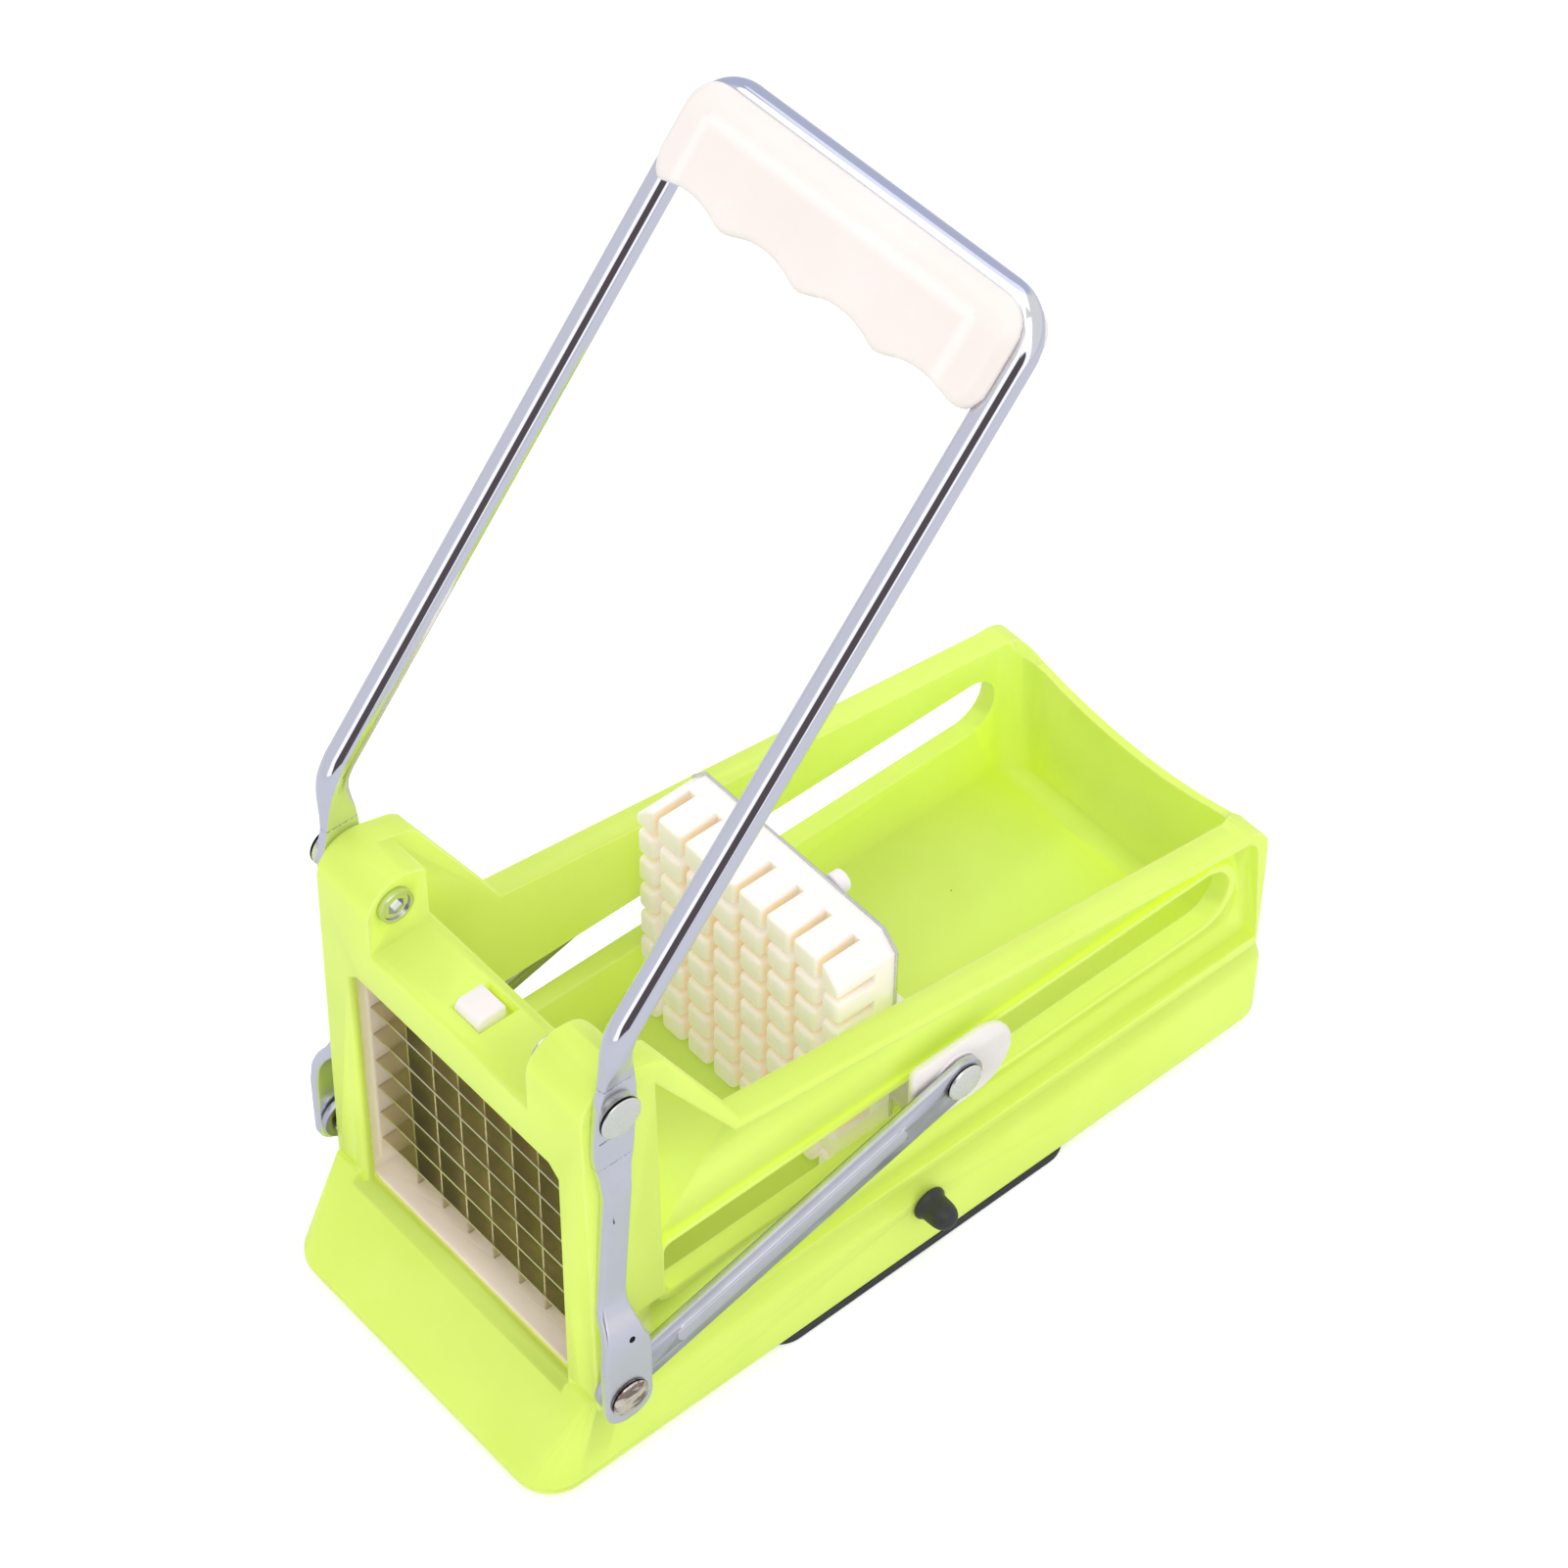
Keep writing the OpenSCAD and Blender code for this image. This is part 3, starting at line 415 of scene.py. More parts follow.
def lever_finish():
    """Chrome on the round tube, satin where it is pressed flat, with press marks and scuffs."""
    material, t, shader, place = new_material("lever_finish")
    x, y, z = t.parts(place)
    side = t.maths("ABSOLUTE", x)
    grain = use(t, GRAIN, Vector=place, Grain=2600.0, Mottle=60.0)
    marks = use(t, SCRATCHES, Vector=place, Stretch=(500.0, 500.0, 60.0), Amount=0.16)
    # the plating begins above the flat, along a ragged line
    ragged = t.plus(z, t.times(t.minus(grain["Mottle"], 0.5), 0.006))
    plated = t.ramp(ragged, 0.1385, 0.1455)
    base = t.mix(grain["Mottle"], rgb(226, 227, 236), rgb(238, 239, 246))
    base = t.mix(plated, base, rgb(232, 233, 240))
    # a rough patch that tapers down from the flat pad
    left = t.minus(t.times(z, -0.5), 0.0392)
    inside = t.ramp(t.minus(y, left), 0.0, 0.0012)
    patch = t.times(band(t, z, 0.0950, 0.1062, 0.0006), inside)
    spark = t.noise(place, 2600.0, 2.0, 0.7)
    base = t.mix(t.times(patch, t.ramp(spark, 0.5, 0.66)), base, rgb(236, 238, 248))
    # press lines above and below the pad, and two scuffs
    lines = t.maths("MAXIMUM", band(t, z, 0.1299, 0.1300, 0.0002),
                    band(t, z, 0.1063, 0.1064, 0.0002))
    level_scuff = t.times(band(t, z, 0.1146, 0.1150, 0.0001), band(t, y, -0.0922, -0.0896, 0.0002))
    tall_scuff = t.times(band(t, z, 0.0870, 0.0896, 0.0001), band(t, y, -0.0899, -0.0896, 0.0001))
    nicks = t.ramp(t.noise(place, 1500.0, 2.0, 0.6), 0.48, 0.56)
    scuffs = t.times(t.maths("MAXIMUM", level_scuff, tall_scuff), nicks)
    outer = t.maths("GREATER_THAN", side, 0.0445)
    base = t.mix(t.times(scuffs, outer), base, rgb(58, 54, 60))
    base = t.mix(t.times(lines, t.times(nicks, 0.7)), base, rgb(120, 122, 136))
    # the drain hole near the foot, and its rim; the hole is a dark disc of painted shade for its
    # shaded inside
    level_place = t.add("ShaderNodeCombineXYZ", {1: y, 2: z}).outputs[0]
    hole = t.add("ShaderNodeVectorMath", {0: level_place, 1: (0.0, -0.0894, 0.0519)},
                 operation="DISTANCE").outputs["Value"]
    foot = t.maths("GREATER_THAN", side, 0.049)
    rim = t.times(band(t, hole, 0.0009, 0.0014, 0.0003), foot)
    base = t.mix(t.times(rim, 0.6), base, rgb(232, 234, 244))
    dark = t.times(t.maths("LESS_THAN", hole, 0.0008), foot)
    base = t.mix(dark, base, rgb(40, 38, 42))
    rough = t.plus(t.ramp(plated, 0.0, 1.0, 0.3, 0.06),
                   t.times(t.maths("MAXIMUM", patch, dark), 0.2))
    height = t.plus(t.times(lines, -4.0), t.times(spark, t.times(patch, 3.0)))
    height = t.plus(height, t.times(grain["Height"], t.ramp(plated, 0.0, 1.0, 0.35, 0.0)))
    bump = t.add("ShaderNodeBump", {"Strength": 0.6, "Distance": 0.00003, "Height": height})
    fill_in(t, shader, {
        "Base Color": base, "Metallic": 1.0,
        "Roughness": t.plus(rough, t.times(marks["Mask"], 0.05)), "Normal": bump.outputs[0]})
    return material


# in these finishes glow is painted light, recess tints are painted shade in hollows, and pale edges
# are painted highlights
GREEN = plastic("green_moulding", rgb(209, 230, 104), rgb(205, 227, 96), rgb(240, 253, 190), 0.38,
                scatter=0.25, radius=(1.0, 1.1, 0.2), reach=0.004, edge=0.5, round_off=0.0008,
                glow=0.15, side_painted_light=1.8, recess_shade=(rgb(214, 236, 50), 0.045))
CREAM = plastic("cream_moulding", rgb(244, 238, 238), rgb(241, 233, 231), rgb(252, 248, 246), 0.4,
                scatter=0.35, radius=(1.0, 0.8, 0.6), reach=0.003, edge=0.3, specks=0.3,
                round_off=0.0007, glow=0.05)
PRONG = plastic("prong_cream", rgb(246, 238, 235), rgb(243, 234, 229), rgb(253, 250, 246), 0.36,
                scatter=0.3, radius=(1.0, 0.8, 0.6), reach=0.002, edge=0.45, specks=0.2,
                round_off=0.0004, glow=0.16, recess_shade=(rgb(242, 225, 194), 0.005))
CREAM_FRAME = plastic("cartridge_cream", rgb(244, 230, 216), rgb(238, 222, 206),
                      rgb(252, 244, 236), 0.4, scatter=0.2, radius=(1.0, 0.8, 0.5), reach=0.002,
                      edge=0.3, specks=0.2, glow=0.1)
GRIP = plastic("grip_ivory", rgb(246, 238, 234), rgb(243, 234, 229), rgb(253, 249, 246), 0.34,
               scatter=0.3, radius=(1.0, 0.75, 0.6), reach=0.004, edge=0.2, specks=0.15,
               round_off=0.0006, glow=0.02, ridge=True)
CHROME = lever_finish()
ZINC = metal("zinc_steel", rgb(226, 227, 235), rgb(214, 215, 224), 0.34,
             stretch=(300.0, 500.0, 120.0), scratch=0.2, lines=0.3, dent=0.4)
# rib paints light and shade along the link's rib
LINK = metal("link_steel", rgb(214, 215, 224), rgb(202, 203, 212), 0.34,
             stretch=(400.0, 90.0, 400.0), scratch=0.2, lines=0.3, dent=0.4, rib=True)
# the blade steel's glow is painted light
BLADE = metal("blade_steel", rgb(214, 208, 178), rgb(200, 193, 160), 0.1,
              stretch=(60.0, 60.0, 300.0), scratch=0.06, lines=0.02, glow=0.03)
PLATE = metal("plate_steel", rgb(226, 226, 226), rgb(214, 214, 216), 0.28,
              stretch=(80.0, 900.0, 900.0), scratch=0.25, lines=0.3)
BOLT = metal("bolt_heads", rgb(224, 226, 222), rgb(206, 210, 204), 0.2,
             stretch=(500.0, 260.0, 900.0), scratch=0.1, dent=0.2)
# flank paints a dark reflection on the heads' upright sides
NICKEL = metal("nickel_heads", rgb(252, 253, 244), rgb(242, 244, 232), 0.24,
               stretch=(500.0, 260.0, 900.0), scratch=0.2, dent=0.4, flank=True)
COPPER = metal("worn_rivet", rgb(248, 238, 222), rgb(238, 222, 206), 0.26,
               stretch=(500.0, 160.0, 500.0), scratch=0.3, dent=1.0, flank=True,
               scratch_colour=rgb(150, 132, 124))
RUBBER = plastic("pad_rubber", rgb(58, 60, 64), rgb(46, 48, 52), rgb(96, 98, 104), 0.6, grain=0.05,
                 scatter=0.0, edge=0.3, specks=0.0)
BLACK = plastic("knob_black", rgb(50, 52, 56), rgb(42, 44, 48), rgb(96, 98, 104), 0.42, grain=0.004,
                scatter=0.0, edge=0.3, specks=0.0)

FINISH = {
    "housing": (GREEN, "green_housing"), "blade_frame": (CREAM_FRAME, "cream_plastic"),
    "blades_level": (BLADE, "blade_steel"), "blades_upright": (BLADE, "blade_steel"),
    "blade_latch": (CREAM, "cream_plastic"), "pusher_block": (PRONG, "cream_plastic"),
    "pusher_plate": (PLATE, "plate_steel"), "pusher_carrier": (CREAM, "cream_plastic"),
    "pusher_screws": (NICKEL, "zinc_steel"), "wing_plates": (CREAM, "cream_plastic"),
    "lever_tube": (CHROME, "chrome_tube"), "grip_front": (GRIP, "cream_plastic"),
    "grip_back": (GRIP, "cream_plastic"), "grip_screws": (NICKEL, "zinc_steel"),
    "pivot_bolts": (BOLT, "zinc_steel"), "pivot_nuts": (NICKEL, "rivet_steel"),
    "pivot_rings": (BOLT, "zinc_steel"), "lower_rivets": (COPPER, "rivet_steel"),
    "link_right": (LINK, "zinc_steel"), "link_left": (LINK, "zinc_steel"),
    "wing_pin_right": (NICKEL, "rivet_steel"), "wing_pin_left": (NICKEL, "rivet_steel"),
    "suction_pad": (RUBBER, "black_rubber"), "suction_plate": (ZINC, "zinc_steel"),
    "suction_yoke": (ZINC, "zinc_steel"), "cam_shaft": (ZINC, "zinc_steel"),
    "suction_knob": (BLACK, "black_plastic"), "shaft_clip": (ZINC, "zinc_steel"),
}

# ---------------------------------------------------------------- softened copies of the solids


def keep_piece(name, mesh, body, material, stands_for):
    """Links a finished mesh at the origin, gives it its finish and ties it to its body."""
    obj = bpy.data.objects.new(name, mesh)
    bpy.context.scene.collection.objects.link(obj)
    mesh.materials.clear()
    mesh.materials.append(material)
    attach(obj, body)
    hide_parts(*stands_for)


def evaluated(work, name):
    """The object's mesh with its modifiers applied, smooth shaded and named."""
    graph = bpy.context.evaluated_depsgraph_get()
    done = bpy.data.meshes.new_from_object(work.evaluated_get(graph))
    for polygon in done.polygons:
        polygon.use_smooth = True
    done.name = name
    return done


def baked(mesh, name, modifiers):
    """The mesh with those modifiers applied."""
    work = bpy.data.objects.new("work", mesh)
    bpy.context.scene.collection.objects.link(work)
    for kind, settings in modifiers:
        modifier = work.modifiers.new(kind.lower(), kind)
        for key, value in settings.items():
            setattr(modifier, key, value)
    done = evaluated(work, name)
    bpy.data.objects.remove(work)
    return done


def outward(name, verts, faces, merge=0.0):
    """A mesh from points and faces, with doubles merged and faces turned outwards."""
    mesh = bpy.data.meshes.new(name)
    mesh.from_pydata(verts, [], faces)
    edit = bmesh.new()
    edit.from_mesh(mesh)
    if merge:
        bmesh.ops.remove_doubles(edit, verts=edit.verts, dist=merge)
    bmesh.ops.recalc_face_normals(edit, faces=edit.faces)
    edit.to_mesh(mesh)
    edit.free()
    return mesh


def nearest_on(edge, point):
    """The point of an edge that lies nearest to another point."""
    a, b = edge.verts[0].co, edge.verts[1].co
    near, share = geometry.intersect_point_line(point, a, b)
    return a if share < 0 else b if share > 1 else near


def room_beside(edge, limit):
    """How far a rounding can spread from an edge before it meets another edge of its faces."""
    middle = (edge.verts[0].co + edge.verts[1].co) / 2
    along = (edge.verts[1].co - edge.verts[0].co).normalized()
    room = limit
    for face in edge.link_faces:
        inward = face.normal.cross(along)
        if inward.dot(face.calc_center_median() - middle) < 0 and len(face.edges) < 6:
            inward.negate()
        for other in face.edges:
            if other is edge:
                continue
            reach = nearest_on(other, middle) - middle
            if reach.length < room and abs(reach.dot(inward)) > 0.6 * reach.length:
                room = reach.length
    for vert in edge.verts:
        for other in vert.link_edges:
            if other is not edge:
                reach = other.other_vert(vert).co - vert.co
                across = reach.cross(along).length
                if across > 0.5 * reach.length:
                    room = min(room, across)
    return room


def even_out(share):
    """Lowers each edge's share of the width to little more than its neighbours', in six passes."""
    for _ in range(6):
        for edge in share:
            beside = [share[other] for vert in edge.verts for other in vert.link_edges
                      if other in share]
            share[edge] = min(share[edge], 1.35 * min(beside) + 0.001)


def soften(node, width, tries):
    """A copy of a solid with its outer edges rounded as far as their neighbours leave room."""
    merge, flat, sharp = 2e-6, math.radians(0.05), math.radians(28.0)
    narrower, around_spot = 0.6, 0.0012
    mesh = nodes[node].data.copy()
    edit = bmesh.new()
    edit.from_mesh(mesh)
    bmesh.ops.remove_doubles(edit, verts=edit.verts, dist=merge)
    bmesh.ops.dissolve_degenerate(edit, edges=edit.edges, dist=merge)
    bmesh.ops.dissolve_limit(edit, angle_limit=flat, use_dissolve_boundaries=False,
                             verts=edit.verts, edges=edit.edges, delimit=set())
    weight = edit.edges.layers.float.new("bevel_weight_edge")
    share = {edge: min(1.0, 0.3 * room_beside(edge, 4 * width) / width) for edge in edit.edges
             if len(edge.link_faces) == 2 and edge.is_convex and edge.calc_face_angle(0) > sharp}
    original = BVHTree.FromBMesh(edit)
    bevel = {"width": width, "segments": 3, "limit_method": "WEIGHT", "use_clamp_overlap": False,
             "harden_normals": True, "miter_outer": "MITER_ARC"}
    for _ in range(tries):
        even_out(share)
        for edge in share:
            edge[weight] = share[edge]
        edit.to_mesh(mesh)
        done = baked(mesh.copy(), node + "_soft", [("BEVEL", bevel)])
        spots = torn(done, original, width)
        if not spots:
            break
        for edge in share:
            if any((spot - nearest_on(edge, spot)).length < around_spot for spot in spots):
                share[edge] *= narrower
    edit.free()
    return done


def torn(mesh, original, width):
    """Points where a rounding has turned a face over or left the skin of the solid."""
    least_area, around, agree, outside = 1e-9, 0.0014, 0.3, 0.00003
    spots = []
    for face in mesh.polygons:
        if face.area > least_area:
            near = original.find_nearest_range(face.center, around)
            if near and not any(hit[1].dot(face.normal) > agree for hit in near):
                spots.append(face.center.copy())
    for vert in mesh.vertices:
        skin, normal, _, gap = original.find_nearest(vert.co)
        if gap > 0.45 * width or (gap > outside and (vert.co - skin).dot(normal) > 0):
            spots.append(vert.co.copy())
    return spots


# ---------------------------------------------------------------- the lever, lofted leg to leg

FOOT_ROUND = 4.6

# height, y, x, half width, half thickness and corner radius of the right leg, from its foot
LEG = ((-91.25, -2.65, 50.45, 6.25, 1.25, 0.7), (-76, -2.65, 50.45, 6.25, 1.25, 0.7),
       (-73, -2.75, 50.42, 6.0, 1.25, 0.7), (-70, -3.1, 50.2, 5.3, 1.27, 0.7),
       (-67, -3.05, 49.3, 4.6, 1.35, 0.85), (-63, -2.75, 46.7, 3.9, 1.5, 1.1),
       (-59.7, -2.44, 45.55, 3.62, 1.55, 1.3), (-56, -2.2, 45.35, 3.6, 1.55, 1.3),
       (-30, -0.35, 45.35, 3.6, 1.55, 1.3), (-26.3, -0.1, 45.33, 3.62, 1.53, 1.25),
       (-22, -0.2, 45.2, 3.85, 1.4, 1.0), (-18.5, -0.3, 45.08, 4.15, 1.27, 0.75),
       (-16.5, -0.36, 45.05, 4.5, 1.25, 0.6), (-14, -0.39, 45.05, 4.85, 1.25, 0.6),
       (-11, -0.33, 45.05, 5.05, 1.25, 0.6), (-2, 0.33, 45.05, 5.1, 1.25, 0.6),
       (4, 0.74, 45.05, 4.85, 1.25, 0.6), (8, 1.0, 45.06, 4.3, 1.27, 0.65),
       (11, 0.95, 45.2, 4.0, 1.5, 0.9), (14, 0.78, 45.5, 3.75, 2.0, 1.6),
       (17, 0.68, 45.8, 3.55, 2.6, 2.4), (20, 0.95, 45.95, 3.42, 3.05, 3.0),
       (22.46, 1.83, 46, 3.34, 3.22, 3.2), (24.57, 3.05, 46, 3.3, 3.3, 3.3))


def tube_point(x, s):
    """A point of the tube's middle plane, s along the lean from the pivot."""
    return Vector((x, s * math.cos(LEAN) - TUBE_OFF * math.sin(LEAN),
                   s * math.sin(LEAN) + TUBE_OFF * math.cos(LEAN)))


def between(rows, at):
    """The row at a height, smoothly between the given rows and without overshoot."""
    k = max(j for j in range(len(rows) - 1) if rows[j][0] <= at + 1e-9)
    span = rows[k + 1][0] - rows[k][0]
    u = (at - rows[k][0]) / span
    out = []
    for c in range(1, len(rows[0])):
        rise = [(rows[j + 1][c] - rows[j][c]) / (rows[j + 1][0] - rows[j][0])
                for j in range(len(rows) - 1)]
        ends = []
        for j in (k, k + 1):
            a, b = rise[max(j - 1, 0)], rise[min(j, len(rise) - 1)]
            ends.append(0 if a * b <= 0 else 2 * a * b / (a + b))
        p, q = rows[k][c], rows[k + 1][c]
        out.append(p * (1 + 2 * u) * (1 - u) ** 2 + q * u * u * (3 - 2 * u)
                   + span * (ends[0] * u * (1 - u) ** 2 - ends[1] * u * u * (1 - u)))
    return out


def section(wide, thick, corner, fan=10):
    """Points of a rounded rectangle: a circle where all three sizes agree."""
    points = []
    for quarter, (sx, sy) in enumerate(((1, 1), (-1, 1), (-1, -1), (1, -1))):
        for step in range(fan + 1):
            a = math.radians(90 * (quarter + step / fan))
            points.append((sx * (wide - corner) + corner * math.cos(a),
                           sy * (thick - corner) + corner * math.sin(a)))
    return points


def right_half():
    """Centre, width direction (None: level with the leg) and size of each ring, foot to middle."""
    rings = []
    foot, y, x, wide, thick, corner = LEG[0]
    for step in range(7):
        a = math.radians(15 * step)
        rings.append((Vector((x, y, foot - FOOT_ROUND * math.cos(a))), None,
                      (wide - FOOT_ROUND * (1 - math.sin(a)), thick, corner)))
    leg_top = 24.4
    for height in [-91 + k for k in range(0, 15, 3)] + [-76 + 0.8 * k for k in range(1, 126)]:
        if height < leg_top:
            y, x, wide, thick, corner = between(LEG, height)
            rings.append((Vector((x, y, height)), None, (wide, thick, corner)))
    normal = Vector((0, -math.sin(LEAN), math.cos(LEAN)))
    tube = [(YOKE, s) for s in [21, 22, 24] + [30 + 10 * k for k in range(15)]]
    for step in range(13):
        a = math.radians(7.5 * step)
        tube.append((YOKE - CORNER + CORNER * math.cos(a), REACH - CORNER + CORNER * math.sin(a)))
    tube += [(x, REACH) for x in (30, 20, 10)]
    return rings + [(tube_point(x, s), normal, (TUBE_RADIUS,) * 3) for x, s in tube]


def lever_mesh():
    """The whole lever: the right half's rings and their mirror, joined into one skin."""
    rings = right_half()
    half = len(rings)
    rings += [(Vector((-at.x, at.y, at.z)), wide, size) for at, wide, size in reversed(rings)]
    verts = []
    for k, (at, wide, size) in enumerate(rings):
        before, after = rings[max(k - 1, 0)][0], rings[min(k + 1, len(rings) - 1)][0]
        along = (after - before).normalized()
        if wide is None:
            wide = Vector((0, -along.z, along.y)).normalized() * (1 if k < half else -1)
        thick = along.cross(wide).normalized()
        verts += [(PIVOT + at + wide * u + thick * v) * MM for u, v in section(*size)]
    count = len(verts) // len(rings)
    faces = [list(range(count)), list(range(len(verts) - count, len(verts)))]
    for k in range(len(rings) - 1):
        for j in range(count):
            a, b = k * count + j, k * count + (j + 1) % count
            faces.append((a, b, b + count, a + count))
    mesh = outward("lever_loft", verts, faces, merge=2e-6)
    return baked(mesh, "lever_loft", [("WEIGHTED_NORMAL", {"keep_sharp": True})])


# ---------------------------------------------------------------- grip halves with pillowed edges


def grip_mesh(node, side):
    """A half of the grip: soft all round, with a ridge that runs inside its top and ends."""
    # the face's half length, top and corner radius, and the length over which each end rounds
    half, top, corner, end = 46.5, 182.1, 8.0, 12
    # how far from the tube's plane the drop begins, and over what rise it comes in
    face, blend = 5.0, 2.5
    # the drop at the rim, and how far in from the rim it runs out
    depth, width = 1.8, 6.8
    mesh = baked(nodes[node].data.copy(), "grip",
                 [("REMESH", {"mode": "VOXEL", "voxel_size": 0.0007})])
    up = Vector((0, math.cos(LEAN), math.sin(LEAN)))
    out = Vector((0, -math.sin(LEAN), math.cos(LEAN)))
    for vert in mesh.vertices:
        at = vert.co / MM - PIVOT
        high = (at.dot(out) - TUBE_OFF) * side
        if high > face:
            qx, qs = (abs(at.x) - half + end) * corner / end, at.dot(up) - top + corner
            inset = corner - math.hypot(max(qx, 0), max(qs, 0)) - min(max(qx, qs), 0)
            drop = depth * min(1.0, max(0.0, 1 - inset / width)) * min(1.0, (high - face) / blend)
            vert.co -= out * side * drop * MM
    return baked(mesh, node + "_soft", [("SMOOTH", {"factor": 0.5, "iterations": 16})])


# ---------------------------------------------------------------- pieces that repeat


def repeat_group():
    """Geometry nodes: sets one piece on every point, turned to the point's facing."""
    tree = bpy.data.node_groups.new("repeat_on_points", "GeometryNodeTree")
    for label, kind in (("Geometry", "Geometry"), ("Piece", "Object"), ("Finish", "Material"),
                        ("Spin", "Float"), ("Seed", "Int")):
        tree.interface.new_socket(name=label, in_out="INPUT", socket_type="NodeSocket" + kind)
    tree.interface.new_socket(name="Geometry", in_out="OUTPUT", socket_type="NodeSocketGeometry")
    t = Tree(tree)
    i = t.add("NodeGroupInput").outputs
    facing = t.add("GeometryNodeInputNamedAttribute", {"Name": "facing"}, data_type="FLOAT_VECTOR")
    turn = t.add("FunctionNodeAlignRotationToVector", {"Vector": facing.outputs[0]}, axis="Z")
    chance = t.add("FunctionNodeRandomValue", {"Seed": i["Seed"]}, data_type="FLOAT").outputs[1]
    angle = t.times(chance, i["Spin"])
    spin = t.add("FunctionNodeAxisAngleToRotation", {"Axis": (0, 0, 1), "Angle": angle}).outputs[0]
    both = t.add("FunctionNodeRotateRotation", {0: turn.outputs[0], 1: spin},
                 rotation_space="LOCAL").outputs[0]
    piece = t.add("GeometryNodeObjectInfo", {"Object": i["Piece"]}, transform_space="ORIGINAL")
    put = t.add("GeometryNodeInstanceOnPoints", {"Points": i["Geometry"], "Rotation": both,
                                                 "Instance": piece.outputs["Geometry"]})
    real = t.add("GeometryNodeRealizeInstances", {"Geometry": put.outputs[0]})
    done = t.add("GeometryNodeSetMaterial", {"Geometry": real.outputs[0], "Material": i["Finish"]})
    t.add("NodeGroupOutput", {"Geometry": done.outputs[0]})
    return tree


REPEAT = repeat_group()


def repeated(name, piece, places, finish, spin=6.28, seed=3):
    """The piece's mesh, repeated at (point, facing) places given in millimetres."""
    points = bpy.data.meshes.new(name + "_points")
    points.from_pydata([Vector(at) * MM for at, _ in places], [], [])
    facing = points.attributes.new("facing", "FLOAT_VECTOR", "POINT")
    for item, (_, way) in zip(facing.data, places):
        item.vector = way
    one = bpy.data.objects.new(name + "_one", piece)
    work = bpy.data.objects.new(name + "_work", points)
    for obj in (one, work):
        bpy.context.scene.collection.objects.link(obj)
    modifier = work.modifiers.new("repeat", "NODES")
    modifier.node_group = REPEAT
    values = {"Piece": one, "Finish": finish, "Spin": spin, "Seed": seed}
    for item in REPEAT.interface.items_tree:
        if item.in_out == "INPUT" and item.name in values:
            modifier[item.identifier] = values[item.name]
    done = evaluated(work, name)
    for obj in (one, work):
        bpy.data.objects.remove(obj)
    return done


def turned(name, outline, around=64):
    """A turned solid from (radius, height) points in millimetres, its axis on Z."""
    edit = bmesh.new()
    rows = []
    for radius, height in outline:
        if radius < 1e-6:
            rows.append([edit.verts.new((0, 0, height * MM))])
        else:
            angles = [math.tau * k / around for k in range(around)]
            rows.append([edit.verts.new((radius * MM * math.cos(a), radius * MM * math.sin(a),
                                         height * MM)) for a in angles])
    for low, high in zip(rows, rows[1:]):
        for k in range(around):
            n = (k + 1) % around
            ring = [low[k % len(low)], low[n % len(low)], high[n % len(high)], high[k % len(high)]]
            edit.faces.new(list(dict.fromkeys(ring)))
    bmesh.ops.recalc_face_normals(edit, faces=edit.faces)
    mesh = bpy.data.meshes.new(name)
    edit.to_mesh(mesh)
    edit.free()
    return mesh


def dome(radius, flank, height, back):
    """Outline of a rivet: its back given in full, then a flank and a low dome."""
    rim = [(radius - 0.12, 0.0), (radius, 0.12), (radius, flank), (radius - 0.08, flank + 0.15)]
    top = [(radius * math.cos(math.radians(a)) * 0.97,
            flank + 0.15 + (height - flank - 0.15) * math.sin(math.radians(a)) ** 0.8)
           for a in (14, 26, 38, 50, 62, 74, 83)]
    return back + rim + top + [(0.0, height)]


NUT = turned("nut", dome(5.1, 0.75, 1.25, [(0, -3.1), (3.4, -3.1), (3.4, -0.1), (4.3, -0.1),
                                           (4.3, 0.0)]))
RIVET = turned("rivet", dome(4.8, 0.5, 1.5, [(0, -5.75), (3.6, -5.75), (3.8, -5.6), (3.8, -5.1),
                                             (2.2, -5.1), (2.2, 0.0)]))
PIN = turned("pin", dome(4.7, 0.5, 1.5, [(0, -2.0), (2.2, -2.0), (2.2, 0.0)]))
SIDES = {"right": (1, 0, 0), "left": (-1, 0, 0)}


def side_places(x, y, z, sides=("right", "left")):
    """The same place on each of the sides, facing away from the middle."""
    return [((x * SIDES[side][0], y, z), SIDES[side]) for side in sides]


def prism(outline, near, far, radius):
    """A straight bar between two y planes from an (x, z) outline, all its edges rounded."""
    count = len(outline)
    verts = [(x * MM, y * MM, z * MM) for y in (near, far) for x, z in outline]
    faces = [list(range(count)), list(range(count, 2 * count))]
    faces += [(k, (k + 1) % count, count + (k + 1) % count, count + k) for k in range(count)]
    return baked(outward("prism", verts, faces), "prism",
                 [("BEVEL", {"width": radius * MM, "segments": 4, "limit_method": "NONE",
                             "harden_normals": False}),
                  ("WEIGHTED_NORMAL", {"keep_sharp": True})])


def rectangle(wide, high):
    x, z = wide / 2, high / 2
    return [(-x, -z), (x, -z), (x, z), (-x, z)]


def prong_places():
    """Where the prongs stand, by kind: inside, on the flanks, in the crown row, at its ends."""
    flank_x, crown_z = 30.65, 67.7
    last, middle = CELLS - 1, (CELLS - 1) / 2
    kinds = {"inner": [], "flank": [], "crown": [], "corner_right": [], "corner_left": []}
    for column in range(CELLS):
        for row in range(CELLS):
            outer, top = column in (0, last), row == last
            x = math.copysign(flank_x, column - middle) if outer else (column - middle) * PITCH
            z = GRID_LOW + (crown_z if top else row * PITCH + PITCH / 2)
            if outer and top:
                kind = "corner_right" if column == last else "corner_left"
            else:
                kind = "flank" if outer else "crown" if top else "inner"
            kinds[kind].append(((x, 0, z), (0, 0, 1)))
    return kinds


